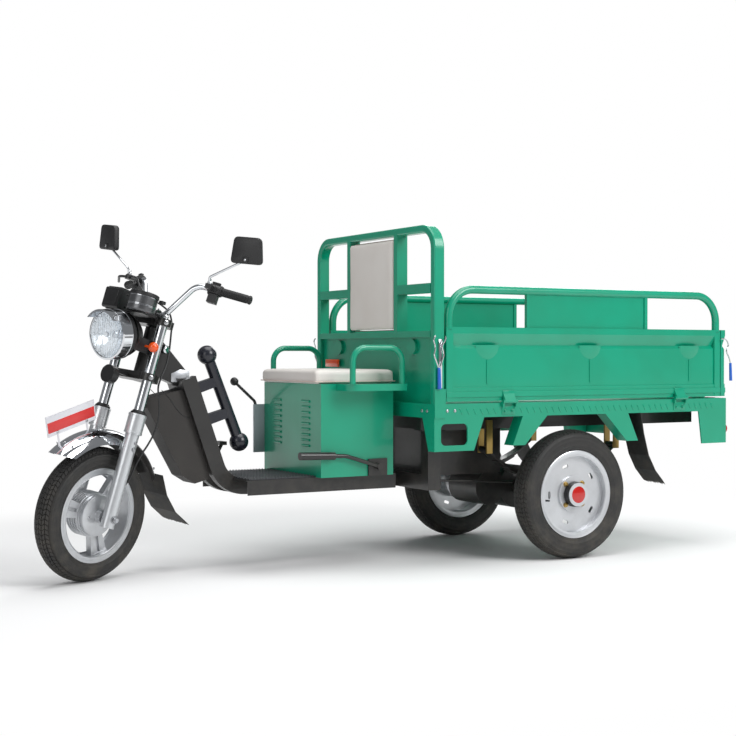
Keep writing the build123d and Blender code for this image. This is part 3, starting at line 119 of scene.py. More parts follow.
@dataclass
class Signal:
    """One socket of a node tree, with arithmetic that adds Math nodes."""

    tree: bpy.types.NodeTree
    socket: bpy.types.NodeSocket

    def _math(self, operation: str, *terms: Signal | float) -> Signal:
        """Adds a Math node.

        Args:
            operation: the Math node's operation.
            terms: its inputs, in order.

        Returns:
            The node's result.
        """
        node = self.tree.nodes.new("ShaderNodeMath")
        node.operation = operation
        for slot, term in zip(node.inputs, terms):
            plug(self.tree, slot, term)
        return Signal(self.tree, node.outputs[0])

    def __add__(self, other: Signal | float) -> Signal:
        """Adds."""
        return self._math("ADD", self, other)

    __radd__ = __add__

    def __mul__(self, other: Signal | float) -> Signal:
        """Multiplies."""
        return self._math("MULTIPLY", self, other)

    __rmul__ = __mul__

    def __sub__(self, other: Signal | float) -> Signal:
        """Subtracts."""
        return self._math("SUBTRACT", self, other)

    def __rsub__(self, other: Signal | float) -> Signal:
        """Subtracts from a number."""
        return self._math("SUBTRACT", other, self)

    def step(self, low: float, high: float) -> Signal:
        """Rises smoothly from 0 at low to 1 at high."""
        node = self.tree.nodes.new("ShaderNodeMapRange")
        node.interpolation_type = "SMOOTHSTEP"
        for name, term in (("Value", self), ("From Min", low), ("From Max", high)):
            plug(self.tree, node.inputs[name], term)
        return Signal(self.tree, node.outputs[0])


def plug(tree: bpy.types.NodeTree, slot: bpy.types.NodeSocket,
         term: Signal | float | Sequence[float]) -> None:
    """Links a signal to a socket, or sets the socket's own value.

    Args:
        tree: the node tree.
        slot: the input socket.
        term: a signal, a number or a row of numbers.
    """
    if isinstance(term, Signal):
        tree.links.new(term.socket, slot)
    else:
        slot.default_value = term


@dataclass
class Sheet:
    """A material's node tree."""

    tree: bpy.types.NodeTree

    def node(self, kind: str, settings: dict | None = None, **terms: object) -> bpy.types.Node:
        """Adds any node.

        Args:
            kind: the node's type.
            settings: attributes, set first.
            terms: inputs by name, with _ for a space.

        Returns:
            The node.
        """
        made = self.tree.nodes.new(kind)
        for name, value in (settings or {}).items():
            setattr(made, name, value)
        for name, term in terms.items():
            plug(self.tree, made.inputs[name.replace("_", " ")], term)
        return made

    def out(self, made: bpy.types.Node, name: str | int = 0) -> Signal:
        """Gives one output of a node."""
        return Signal(self.tree, made.outputs[name])

    def place(self, scale: Point = (1.0, 1.0, 1.0), turn: Point = (0.0, 0.0, 0.0)) -> Signal:
        """Gives the object's own coordinates in metres, turned and scaled."""
        base = self.out(self.node("ShaderNodeTexCoord"), "Object")
        return self.out(self.node("ShaderNodeMapping", Vector=base, Rotation=turn, Scale=scale))

    def noise(self, place: Signal, size: float, detail: float = 3.0, rough: float = 0.5) -> Signal:
        """Gives a noise whose blotches are about size metres across."""
        made = self.node("ShaderNodeTexNoise", Vector=place, Scale=1.0 / size, Detail=detail, Roughness=rough)
        return self.out(made, 0)

    def cells(self, place: Signal, size: float) -> Signal:
        """Gives the distance to the nearest cell's middle, in cells."""
        return self.out(self.node("ShaderNodeTexVoronoi", Vector=place, Scale=1.0 / size), "Distance")

    def blend(self, factor: Signal, first: Signal | Colour, second: Signal | Colour) -> Signal:
        """Mixes two colours."""
        made = self.node("ShaderNodeMix", {"data_type": "RGBA"})
        plug(self.tree, made.inputs[0], factor)
        for slot, colour in ((made.inputs[6], first), (made.inputs[7], second)):
            plug(self.tree, slot, colour if isinstance(colour, Signal) else (*colour, 1.0))
        return Signal(self.tree, made.outputs[2])

    def bump(self, height: Signal, depth: float) -> Signal:
        """Gives the normal of a surface raised by height times depth."""
        return self.out(self.node("ShaderNodeBump", Height=height, Distance=depth, Strength=1.0))


BLOTCH_SIZE = 0.23
SCUFF_SIZE = 0.035
DUST_SIZE = 0.06
DUST_LOW = 0.02
DUST_TOP = 0.62
DUST_COLOUR = linear(120, 112, 100)
COAT_ROUGHNESS = 0.08
GLASS_IOR = 1.46


@dataclass(frozen=True)
class Finish:
    """A painted, plated, cast, moulded or covered surface."""

    name: str
    slot: str
    colour: Colour
    second: Colour
    rough: float = 0.4
    spread: float = 0.1
    metal: float = 0.0
    coat: float = 0.0
    grain: Grain = Grain.ENAMEL
    size: float = 0.001
    depth: float = 0.00005
    dust: float = 0.0
    clear: float = 0.0
    stretch: Point = (1.0, 1.0, 1.0)

    def material(self) -> bpy.types.Material:
        """Makes the material once, and gives it back afterwards."""
        known = bpy.data.materials.get(self.name)
        return known if known else self._make()

    def _grain(self, sheet: Sheet, place: Signal) -> Signal:
        """Gives the height pattern of the fine surface.

        Args:
            sheet: the material's nodes.
            place: coordinates in metres.

        Returns:
            Heights of about 0 to 1.
        """
        fine = sheet.noise(place, self.size, 4.0)
        if self.grain is Grain.LEATHER:
            return sheet.cells(place, self.size * 3.0) * 0.8 + fine * 0.4
        if self.grain is Grain.CAST:
            return sheet.noise(place, self.size * 4.0, 6.0, 0.7) * 0.7 + fine * 0.3
        if self.grain is Grain.ENAMEL:
            return sheet.noise(place, self.size * 12.0, 1.0) * 0.8 + fine * 0.2
        return fine

    def _make(self) -> bpy.types.Material:
        """Builds the nodes.

        Returns:
            The material.
        """
        made = bpy.data.materials.new(self.name)
        made.use_nodes = True
        tree = made.node_tree
        tree.nodes.clear()
        sheet = Sheet(tree)
        place = sheet.place(self.stretch)
        broad = sheet.noise(sheet.place(), BLOTCH_SIZE, 2.0).step(0.3, 0.7)
        scuff = sheet.noise(sheet.place(), SCUFF_SIZE, 8.0, 0.72).step(0.56, 0.74)
        colour = sheet.blend(broad, self.colour, self.second)
        rough = self.rough + (broad - 0.5) * self.spread + scuff * self.spread
        if self.dust:
            split = sheet.node("ShaderNodeSeparateXYZ", Vector=sheet.place())
            height = sheet.out(split, "Z")
            film = (1.0 - height.step(DUST_LOW, DUST_TOP)) * self.dust
            film = film * sheet.noise(sheet.place(), DUST_SIZE, 6.0, 0.65).step(0.35, 0.8)
            colour = sheet.blend(film, colour, DUST_COLOUR)
            rough = rough + film * 0.4
        shader = sheet.node("ShaderNodeBsdfPrincipled", Base_Color=colour, Roughness=rough)
        shader.inputs["Metallic"].default_value = self.metal
        shader.inputs["Coat Weight"].default_value = self.coat
        shader.inputs["Coat Roughness"].default_value = COAT_ROUGHNESS
        if self.clear:
            shader.inputs["Transmission Weight"].default_value = self.clear
            shader.inputs["IOR"].default_value = GLASS_IOR
        raised = sheet.bump(self._grain(sheet, place), self.depth)
        plug(tree, shader.inputs["Normal"], raised)
        end = sheet.node("ShaderNodeOutputMaterial")
        tree.links.new(shader.outputs[0], end.inputs[0])
        return made


GREEN = Finish("green_enamel", "green_paint", linear(0, 152, 118), linear(0, 144, 110), 0.3, 0.05,
               coat=0.35, size=0.0016, depth=0.00004, dust=0.1)
BLACK = Finish("black_enamel", "black_paint", linear(30, 29, 29), linear(36, 35, 34), 0.36, 0.08,
               coat=0.2, size=0.0015, depth=0.00005, dust=0.25)
COVER = Finish("cover_brown_black", "black_plastic", linear(44, 41, 38), linear(38, 35, 33), 0.55, 0.08,
               grain=Grain.MOULDED, size=0.0009, depth=0.0001, dust=0.15)
PLASTIC = Finish("black_plastic_shell", "black_plastic", linear(28, 28, 29), linear(34, 34, 35), 0.42, 0.1,
                 grain=Grain.MOULDED, size=0.0008, depth=0.00008)
KNEE = Finish("knee_bar_blue_black", "knee_bar_plastic", linear(24, 26, 36), linear(30, 32, 42), 0.3, 0.08,
              coat=0.25, grain=Grain.MOULDED, size=0.001, depth=0.00005)
MAT = Finish("mat_grey_rubber", "mat_rubber", linear(66, 68, 72), linear(52, 54, 58), 0.62, 0.1,
             grain=Grain.MOULDED, size=0.001, depth=0.00015, dust=0.3)
FLAP = Finish("flap_rubber_black", "flap_rubber", linear(26, 26, 26), linear(34, 33, 32), 0.6, 0.12,
              grain=Grain.MOULDED, size=0.001, depth=0.00015, dust=0.5)
VINYL = Finish("vinyl_cream", "cushion_vinyl", linear(226, 221, 216), linear(219, 213, 207), 0.46, 0.08,
               grain=Grain.LEATHER, size=0.0013, depth=0.00025)
PIPING = Finish("vinyl_piping", "cushion_vinyl", linear(206, 184, 176), linear(214, 196, 188), 0.45, 0.08,
                grain=Grain.LEATHER, size=0.001, depth=0.0001)
CHROME = Finish("chrome_bright", "chrome", linear(224, 226, 229), linear(214, 217, 221), 0.08, 0.05,
                metal=1.0, grain=Grain.POLISHED, size=0.004, depth=0.00001)
SLIDER = Finish("slider_silver", "cast_silver", linear(216, 218, 220), linear(205, 208, 211), 0.3, 0.08,
                metal=0.7, coat=0.3, grain=Grain.CAST, size=0.0012, depth=0.00005, dust=0.12)
CAST = Finish("cast_silver_wheel", "cast_silver", linear(202, 204, 207), linear(188, 191, 195), 0.36, 0.1,
              metal=0.75, coat=0.15, grain=Grain.CAST, size=0.0014, depth=0.0001, dust=0.25)
WHEEL = Finish("wheel_silver_paint", "wheel_silver", linear(208, 210, 213), linear(198, 200, 204), 0.34, 0.08,
               metal=0.6, coat=0.3, grain=Grain.CAST, size=0.001, depth=0.00004, dust=0.2)
TYRE = Finish("tyre_black_rubber", "tyre", linear(33, 33, 33), linear(41, 40, 39), 0.62, 0.12,
              grain=Grain.MOULDED, size=0.0012, depth=0.00012, dust=0.3)
GLASS = Finish("lens_clear_glass", "lens_clear", (0.96, 0.97, 0.98), (0.93, 0.95, 0.96), 0.04, 0.02,
               grain=Grain.POLISHED, size=0.004, depth=0.00002, clear=1.0)
ORANGE = Finish("lens_orange_plastic", "lens_orange", linear(240, 92, 20), linear(228, 74, 12), 0.16, 0.05,
                coat=0.5, grain=Grain.POLISHED, size=0.003, depth=0.00003)
RED = Finish("lens_red_plastic", "lens_red", linear(188, 24, 18), linear(164, 16, 14), 0.18, 0.05,
             coat=0.5, grain=Grain.POLISHED, size=0.003, depth=0.00003)
PLATE = Finish("plate_white_paint", "plate_white", linear(222, 222, 226), linear(212, 212, 218), 0.35, 0.08,
               coat=0.2, size=0.001, depth=0.00003)
PLATE_RED = Finish("plate_red_band", "plate_white", linear(214, 58, 56), linear(204, 48, 48), 0.38, 0.08,
                   coat=0.2, size=0.001, depth=0.00003)
GAUGE = Finish("gauge_brushed", "gauge_metal", linear(126, 127, 129), linear(98, 99, 101), 0.3, 0.1,
               metal=0.9, grain=Grain.BRUSHED, size=0.0011, depth=0.00006, stretch=(0.05, 0.05, 1.0))
ZINC = Finish("yellow_zinc_plate", "yellow_zinc", linear(190, 160, 92), linear(150, 128, 84), 0.34, 0.12,
              metal=0.9, grain=Grain.CAST, size=0.0012, depth=0.00006, dust=0.2)
STEEL = Finish("bolt_bright_steel", "chrome", linear(196, 198, 200), linear(172, 174, 177), 0.26, 0.12,
               metal=1.0, grain=Grain.POLISHED, size=0.001, depth=0.00003)
CABLE = Finish("cable_sheath_black", "cable_black", linear(32, 32, 33), linear(40, 40, 41), 0.42, 0.08,
               grain=Grain.MOULDED, size=0.002, depth=0.00004)
GREY = Finish("plate_light_grey", "lever_grey", linear(186, 194, 200), linear(170, 178, 186), 0.4, 0.08,
              metal=0.2, coat=0.1, size=0.001, depth=0.00005)
BLUE = Finish("sleeve_blue", "cable_black", linear(24, 96, 196), linear(14, 78, 176), 0.3, 0.06,
              coat=0.3, grain=Grain.MOULDED, size=0.002, depth=0.00004)
MIRROR = Finish("mirror_silver", "chrome", linear(232, 236, 240), linear(226, 230, 235), 0.03, 0.01,
                metal=1.0, grain=Grain.POLISHED, size=0.01, depth=0.000002)
RUBBER = Finish("rubber_black", "flap_rubber", linear(24, 24, 25), linear(30, 30, 31), 0.5, 0.1,
                grain=Grain.MOULDED, size=0.001, depth=0.00008)

NODE_FINISHES: dict[str, Finish] = {
    "front_tyre": TYRE, "front_wheel": CAST, "brake_plate": CAST, "fork_sliders": SLIDER,
    "fork_tubes": CHROME, "fork_yokes": BLACK, "handlebar": CHROME, "handlebar_grips": RUBBER,
    "handlebar_controls": PLASTIC, "mirrors": PLASTIC, "headlamp_shell": PLASTIC, "headlamp_rim": CHROME,
    "headlamp_lens": GLASS, "horn": PLASTIC, "turn_signals": ORANGE, "instrument_box": PLASTIC,
    "gauge": GAUGE, "front_fender": CHROME, "fender_rear": BLACK, "front_flap": FLAP,
    "number_plate": PLATE, "brake_cable": CABLE, "main_frame": BLACK, "neck_cover": COVER,
    "knee_bar": KNEE, "floor_plate": BLACK, "floor_mat": MAT, "driver_box": GREEN, "seat_tray": GREEN,
    "seat_cushion": VINYL, "arm_loops": GREEN, "bulkhead_frame": GREEN, "bulkhead_panel": GREEN,
    "backrest": VINYL, "bed_floor": GREEN, "bed_sills": GREEN, "left_gate": GREEN, "right_gate": GREEN,
    "tailgate": GREEN, "gate_latches": STEEL, "bed_brackets": GREEN, "tail_lamps": RED,
    "battery_box": BLACK, "left_tyre": TYRE, "left_wheel": WHEEL, "right_tyre": TYRE,
    "right_wheel": WHEEL, "rear_axle": BLACK, "leaf_springs": BLACK, "spring_shackles": ZINC,
    "gear_lever": BLACK, "brake_pedal": BLACK, "parking_lever": BLACK, "rear_flaps": FLAP,
}


# Mesh making


def towards(start: Point, end: Point) -> Matrix:
    """Gives a place at start whose local Z points to end."""
    run = Vector(end) - Vector(start)
    return Matrix.Translation(start) @ run.to_track_quat("Z", "Y").to_matrix().to_4x4()


def bevel_edges(mesh: bmesh.types.BMesh, width: float, angle: float = 0.6, segments: int = 2) -> None:
    """Rounds the edges that turn by more than angle.

    Args:
        mesh: the mesh to change.
        width: the bevel's width.
        angle: the smallest turn that is rounded.
        segments: faces across the bevel.
    """
    if width <= 0:
        return
    keen = [e for e in mesh.edges if e.is_manifold and e.calc_face_angle(0.0) > angle]
    bmesh.ops.bevel(mesh, geom=keen, offset=width, offset_type="OFFSET", affect="EDGES",
                    segments=segments, profile=0.5, material=-1, clamp_overlap=True)


def everything(mesh: bmesh.types.BMesh) -> list:
    """Gives all vertices, edges and faces of a mesh."""
    return mesh.verts[:] + mesh.edges[:] + mesh.faces[:]


@dataclass
class Part:
    """A mesh in the making, in a local place."""

    name: str
    finish: Finish
    body: Body
    place: Matrix = field(default_factory=lambda: Matrix.Identity(4))
    replaces: tuple[str, ...] = ()
    mesh: bmesh.types.BMesh = field(default_factory=bmesh.new)

    def join(self, piece: bmesh.types.BMesh, place: Matrix | None = None) -> Part:
        """Adds a finished small mesh.

        Args:
            piece: the mesh, freed afterwards.
            place: where it goes in this part's place.

        Returns:
            This part.
        """
        if place is not None:
            bmesh.ops.transform(piece, matrix=place, verts=piece.verts)
        carrier = bpy.data.meshes.new("carrier")
        piece.to_mesh(carrier)
        piece.free()
        self.mesh.from_mesh(carrier)
        bpy.data.meshes.remove(carrier)
        return self

    def block(self, low: Point, high: Point, edge: float = 0.001, place: Matrix | None = None) -> Part:
        """Adds a box between two corners, with rounded edges."""
        piece = bmesh.new()
        bmesh.ops.create_cube(piece, size=1.0)
        size = [b - a for a, b in zip(low, high)]
        middle = [(a + b) / 2 for a, b in zip(low, high)]
        bmesh.ops.scale(piece, vec=size, verts=piece.verts)
        bmesh.ops.translate(piece, vec=middle, verts=piece.verts)
        bevel_edges(piece, edge)
        return self.join(piece, place)

    def drum(self, start: Point, end: Point, radius: float, tip: float | None = None,
             edge: float = 0.0008, sides: int = 32) -> Part:
        """Adds a round or, with few sides, a faceted bar from start to end."""
        piece = bmesh.new()
        length = (Vector(end) - Vector(start)).length
        bmesh.ops.create_cone(piece, cap_ends=True, segments=sides, radius1=radius,
                              radius2=radius if tip is None else tip, depth=length)
        bmesh.ops.translate(piece, vec=(0, 0, length / 2), verts=piece.verts)
        bevel_edges(piece, edge, 0.9 if sides > 8 else 0.5)
        return self.join(piece, towards(start, end))

    def turned(self, profile: Sequence[tuple[float, float]], place: Matrix | None = None,
               sides: int = 64, closed: bool = False) -> Part:
        """Adds a turned piece.

        Args:
            profile: (radius, height) points; heights run along the place's Z.
            place: where it goes.
            sides: steps round the axis.
            closed: whether the profile is a ring's section.

        Returns:
            This part.
        """
        piece = bmesh.new()
        rows = [piece.verts.new((radius, 0.0, height)) for radius, height in profile]
        edges = [piece.edges.new(pair) for pair in zip(rows, rows[1:])]
        if closed:
            edges.append(piece.edges.new((rows[-1], rows[0])))
        bmesh.ops.spin(piece, geom=rows + edges, cent=(0, 0, 0), axis=(0, 0, 1), dvec=(0, 0, 0),
                       angle=FULL_TURN, steps=sides, use_merge=True)
        bmesh.ops.remove_doubles(piece, verts=piece.verts, dist=1e-6)
        bmesh.ops.recalc_face_normals(piece, faces=piece.faces)
        return self.join(piece, place)

    def ring(self, inner: float, outer: float, level: float, width: float, chamfer: float,
             place: Matrix | None = None, sides: int = 72) -> Part:
        """Adds a band with chamfered edges.

        Args:
            inner: its inner radius.
            outer: its outer radius.
            level: where it starts along the place's Z.
            width: how wide it is.
            chamfer: how far its edges slope.
            place: where it goes.
            sides: steps round the axis.

        Returns:
            This part.
        """
        section = [(inner, level), (outer, level + chamfer), (outer, level + width - chamfer),
                   (inner, level + width)]
        return self.turned(section, place, sides, True)

    def ball(self, centre: Point, radius: float, scale: Point = (1.0, 1.0, 1.0), sides: int = 32) -> Part:
        """Adds a ball or a stretched one."""
        piece = bmesh.new()
        bmesh.ops.create_uvsphere(piece, u_segments=sides, v_segments=sides // 2, radius=radius)
        bmesh.ops.scale(piece, vec=scale, verts=piece.verts)
        return self.join(piece, Matrix.Translation(centre))

    def bolt(self, at: Point, along: Point, size: float = 0.010, washer: bool = True) -> Part:
        """Adds a hexagon head with its washer.

        Args:
            at: the point on the surface.
            along: the direction that the head looks to.
            size: the thread's diameter.
            washer: whether a washer lies under it.

        Returns:
            This part.
        """
        foot, way = Vector(at), Vector(along).normalized()
        if washer:
            self.drum(tuple(foot - way * 0.0005), tuple(foot + way * size * 0.16), size * 1.05,
                      edge=0.0003, sides=24)
        self.drum(tuple(foot), tuple(foot + way * size * 0.8), size * 0.9, edge=size * 0.07, sides=6)
        self.drum(tuple(foot), tuple(foot + way * size * 1.05), size * 0.48, edge=size * 0.06, sides=16)
        return self

    def pin(self, at: Point, along: Point, radius: float, height: float) -> Part:
        """Adds a round screw or rivet head with a crowned top."""
        profile = [(0.0, height), (radius * 0.5, height * 0.93), (radius * 0.85, height * 0.6),
                   (radius, 0.0), (radius, -0.0005), (0.0, -0.0005)]
        foot, way = Vector(at), Vector(along).normalized()
        return self.turned(profile, towards(tuple(foot), tuple(foot + way)), 20)

    def tube(self, points: Sequence[Point], radius: float, sides: int = 10) -> Part:
        """Adds a smooth bent bar along a spline through control points.

        Args:
            points: the spline's control points.
            radius: the bar's radius.
            sides: steps round it.

        Returns:
            This part.
        """
        curve = bpy.data.curves.new("bar", "CURVE")
        curve.dimensions = "3D"
        curve.resolution_u = 8
        curve.bevel_depth = radius
        curve.bevel_resolution = max(1, sides // 4)
        curve.use_fill_caps = True
        spline = curve.splines.new("NURBS")
        spline.points.add(len(points) - 1)
        for knot, point in zip(spline.points, points):
            knot.co = (*point, 1.0)
        spline.order_u = 3
        spline.use_endpoint_u = True
        carrier_object = bpy.data.objects.new("bar", curve)
        made = bpy.data.meshes.new_from_object(carrier_object)
        piece = bmesh.new()
        piece.from_mesh(made)
        bmesh.ops.recalc_face_normals(piece, faces=piece.faces)
        bpy.data.objects.remove(carrier_object)
        bpy.data.meshes.remove(made)
        return self.join(piece)

    def slab(self, outline: Sequence[Point], thickness: Point, edge: float = 0.0006) -> Part:
        """Adds a flat outline, thickened along a vector."""
        piece = bmesh.new()
        face = piece.faces.new([piece.verts.new(point) for point in outline])
        raised = bmesh.ops.extrude_face_region(piece, geom=[face], use_keep_orig=True)
        moved = [item for item in raised["geom"] if isinstance(item, bmesh.types.BMVert)]
        bmesh.ops.translate(piece, vec=thickness, verts=moved)
        bmesh.ops.recalc_face_normals(piece, faces=piece.faces)
        bevel_edges(piece, edge)
        return self.join(piece)

    def twin(self) -> Part:
        """Adds the mirror image of everything so far, across the local XZ plane."""
        copied = bmesh.ops.duplicate(self.mesh, geom=everything(self.mesh))
        verts = [item for item in copied["geom"] if isinstance(item, bmesh.types.BMVert)]
        faces = [item for item in copied["geom"] if isinstance(item, bmesh.types.BMFace)]
        bmesh.ops.scale(self.mesh, vec=(1.0, -1.0, 1.0), verts=verts)
        bmesh.ops.reverse_faces(self.mesh, faces=faces)
        return self

    def done(self) -> bpy.types.Object:
        """Places the mesh, dresses it and rides it on its body.

        Returns:
            The finished piece.
        """
        bmesh.ops.transform(self.mesh, matrix=self.place, verts=self.mesh.verts)
        for edge in self.mesh.edges:
            edge.smooth = edge.calc_face_angle(0.0) < SHARP_EDGE
        for face in self.mesh.faces:
            face.smooth = True
        data = bpy.data.meshes.new(self.name)
        self.mesh.to_mesh(data)
        self.mesh.free()
        made = bpy.data.objects.new(self.name, data)
        bpy.context.scene.collection.objects.link(made)
        data.materials.append(self.finish.material())
        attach(made, self.body.value)
        if self.replaces:
            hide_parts(*self.replaces)
        LOG.info("%s: %d faces", self.name, len(data.polygons))
        return made


# Sub-assemblies


@dataclass
class Tyre:
    """A tyre with its tread cut as raised blocks and its side with moulded rings."""

    name: str
    node: str
    body: Body
    place: Matrix
    radius: float
    width: float
    bead: float
    crown_half: float
    crown_drop: float
    rows: int = 7
    pitches: int = 84
    tread: float = 0.0035
    block_slope: float = 0.0013
    zigzag: float = 0.5

    def section(self) -> list[tuple[float, float]]:
        """Gives the outside of the left half, from crown to bead, without the crown's blocks."""
        half = self.width / 2
        shoulder = self.radius - self.crown_drop
        drop = shoulder - self.bead
        return [
            (shoulder - drop * 0.12, half * 0.93), (shoulder - drop * 0.2, half * 0.975),
            (shoulder - drop * 0.24, half * 0.955), (shoulder - drop * 0.38, half * 0.992),
            (shoulder - drop * 0.42, half), (shoulder - drop * 0.46, half * 0.985),
            (shoulder - drop * 0.66, half * 0.95), (shoulder - drop * 0.69, half * 0.965),
            (shoulder - drop * 0.73, half * 0.94), (shoulder - drop * 0.86, half * 0.86),
            (shoulder - drop * 0.9, half * 0.87), (shoulder - drop * 0.94, half * 0.84),
            (self.bead, half * 0.76), (self.bead - 0.012, half * 0.72),
        ]

    def crown(self) -> list[tuple[float, float]]:
        """Gives the crown's rows, from right to left, on the tread's floor."""
        floor = self.radius - self.tread
        rows = []
        for number in range(self.rows + 1):
            share = -1.0 + 2.0 * number / self.rows
            rows.append((floor - self.crown_drop * abs(share) ** 2.2, share * self.crown_half))
        return rows

    def build(self) -> None:
        """Makes the tyre."""
        part = Part(self.name, TYRE, self.body, self.place @ Matrix.Rotation(-math.pi / 2, 4, "X"),
                    replaces=(self.node,))
        side = self.section()
        profile = [(r, -h) for r, h in reversed(side)] + self.crown() + side
        mesh = bmesh.new()
        knots = [mesh.verts.new((radius, 0.0, height)) for radius, height in profile]
        edges = [mesh.edges.new(pair) for pair in zip(knots, knots[1:])]
        edges.append(mesh.edges.new((knots[-1], knots[0])))
        bmesh.ops.spin(mesh, geom=knots + edges, cent=(0, 0, 0), axis=(0, 0, 1), dvec=(0, 0, 0),
                       angle=FULL_TURN, steps=self.pitches, use_merge=True)
        bmesh.ops.remove_doubles(mesh, verts=mesh.verts, dist=1e-6)
        bmesh.ops.recalc_face_normals(mesh, faces=mesh.faces)
        step = 2.0 * self.crown_half / self.rows
        turn = FULL_TURN / self.pitches * self.zigzag
        low = self.radius - self.tread - self.crown_drop * 1.02
        for number in range(1, self.rows + 1, 2):
            height = -self.crown_half + number * step
            ring = [v for v in mesh.verts if abs(v.co.z - height) < step * 0.1 and v.co.xy.length > low]
            bmesh.ops.rotate(mesh, cent=(0, 0, 0), matrix=Matrix.Rotation(turn, 3, "Z"), verts=ring)
        blocks = []
        for face in mesh.faces:
            middle = face.calc_center_median()
            if middle.xy.length > low - 0.002 and abs(middle.z) < self.crown_half:
                blocks.append(face)
        bmesh.ops.inset_individual(mesh, faces=blocks, thickness=self.block_slope, depth=self.tread,
                                   use_even_offset=True)
        part.join(mesh)
        part.done()


@dataclass
class FrontWheelTrim:
    """Trim of the front wheel: rim lips, valve, hub bolts and the brake's dome."""

    rim_side: float = 0.038
    rim_radius: float = 0.174
    fins: int = 5
    fin_start: float = -0.042
    fin_pitch: float = 0.013
    place: Matrix = field(default_factory=lambda: FRONT_WHEEL @ Matrix.Rotation(-math.pi / 2, 4, "X"))

    def build(self) -> None:
        """Makes the trim."""
        rim = Part("front_rim_lips", CAST, Body.FRONT_WHEEL, self.place)
        for side in (-1.0, 1.0):
            rim.turned([
                (self.rim_radius + 0.001, side * (self.rim_side - 0.002)),
                (self.rim_radius + 0.0015, side * (self.rim_side + 0.001)),
                (self.rim_radius - 0.003, side * (self.rim_side + 0.0022)),
                (self.rim_radius - 0.010, side * (self.rim_side + 0.0008)),
                (self.rim_radius - 0.0115, side * (self.rim_side - 0.002)),
                (self.rim_radius - 0.020, side * (self.rim_side - 0.002)),
                (self.rim_radius - 0.022, side * (self.rim_side + 0.0006)),
                (self.rim_radius - 0.024, side * (self.rim_side - 0.0015)),
                (self.rim_radius - 0.024, side * (self.rim_side - 0.004)),
                (self.rim_radius + 0.001, side * (self.rim_side - 0.004)),
            ], sides=96, closed=True)
        rim.done()
        hub = Part("front_hub_dome", CAST, Body.STEERING, self.place)
        hub.turned([
            (0.0, 0.0465), (0.018, 0.0465), (0.022, 0.0445), (0.040, 0.0432), (0.062, 0.0400),
            (0.0735, 0.0370), (0.0745, 0.0355), (0.0745, 0.0345), (0.0, 0.0345),
        ], sides=72)
        hub.done()
        drum = Part("front_drum_fins", CAST, Body.FRONT_WHEEL, self.place)
        for number in range(self.fins):
            level = self.fin_start + number * self.fin_pitch
            drum.ring(0.0795, 0.0835, level, 0.004, 0.001)
        drum.done()
        bolts = Part("front_axle_nuts", STEEL, Body.STEERING, self.place)
        for side in (-1.0, 1.0):
            bolts.bolt((0.0, 0.0, side * (HALF_LEG + 0.0262)), (0.0, 0.0, side), 0.014)
        bolts.pin((0.046, 0.014, 0.0425), (0.0, 0.0, 1.0), 0.005, 0.002)
        bolts.done()
        valve = Part("front_valve", RUBBER, Body.FRONT_WHEEL, self.place)
        valve.drum((0.152, 0.0, 0.0), (0.128, 0.0, 0.014), 0.0042, 0.003)
        valve.done()


@dataclass
class RearWheelTrim:
    """Nuts, cap, valve and rim lips of one rear wheel."""

    name: str
    body: Body
    side: float
    ring_side: float = 0.030
    pitch: float = 0.060
    nuts: int = 4

    def place(self) -> Matrix:
        """Gives the wheel's middle, with local Z pointing outwards."""
        middle = REAR_AXLE + Vector((0.0, self.side * HALF_TRACK, 0.0))
        return Matrix.Translation(middle) @ Matrix.Rotation(-self.side * math.pi / 2, 4, "X")

    def build(self) -> None:
        """Makes the pieces."""
        place = self.place()
        nuts = Part(f"{self.name}_nuts", ZINC, self.body, place)
        for number in range(self.nuts):
            turn = FULL_TURN * (number + 0.5) / self.nuts
            at = (self.pitch * math.cos(turn), self.pitch * math.sin(turn), self.ring_side - 0.002)
            nuts.bolt(at, (0.0, 0.0, 1.0), 0.010)
        nuts.done()
        cap = Part(f"{self.name}_cap", PLASTIC, self.body, place)
        cap.turned([(0.0, 0.0603), (0.026, 0.0603), (0.034, 0.0598), (0.0460, 0.0585), (0.0500, 0.0550),
                    (0.0506, 0.0400), (0.0515, 0.0385), (0.0515, 0.0300), (0.0, 0.0300)], sides=48)
        cap.done()
        face = Part(f"{self.name}_cap_face", RED, self.body, place)
        face.turned([(0.0, 0.0612), (0.032, 0.0610), (0.034, 0.0600), (0.0, 0.0598)], sides=48)
        face.done()
        lips = Part(f"{self.name}_rim_lips", WHEEL, self.body, place)
        for side in (-1.0, 1.0):
            lips.turned([
                (0.1775, side * 0.040), (0.1785, side * 0.0435), (0.1755, side * 0.0448),
                (0.1680, side * 0.0425), (0.1560, side * 0.0405), (0.1545, side * 0.0380),
                (0.1775, side * 0.0375),
            ], sides=96, closed=True)
        lips.done()
        valve = Part(f"{self.name}_valve", RUBBER, self.body, place)
        valve.drum((0.148, 0.020, 0.018), (0.138, 0.019, 0.047), 0.0045, 0.0032)
        valve.done()


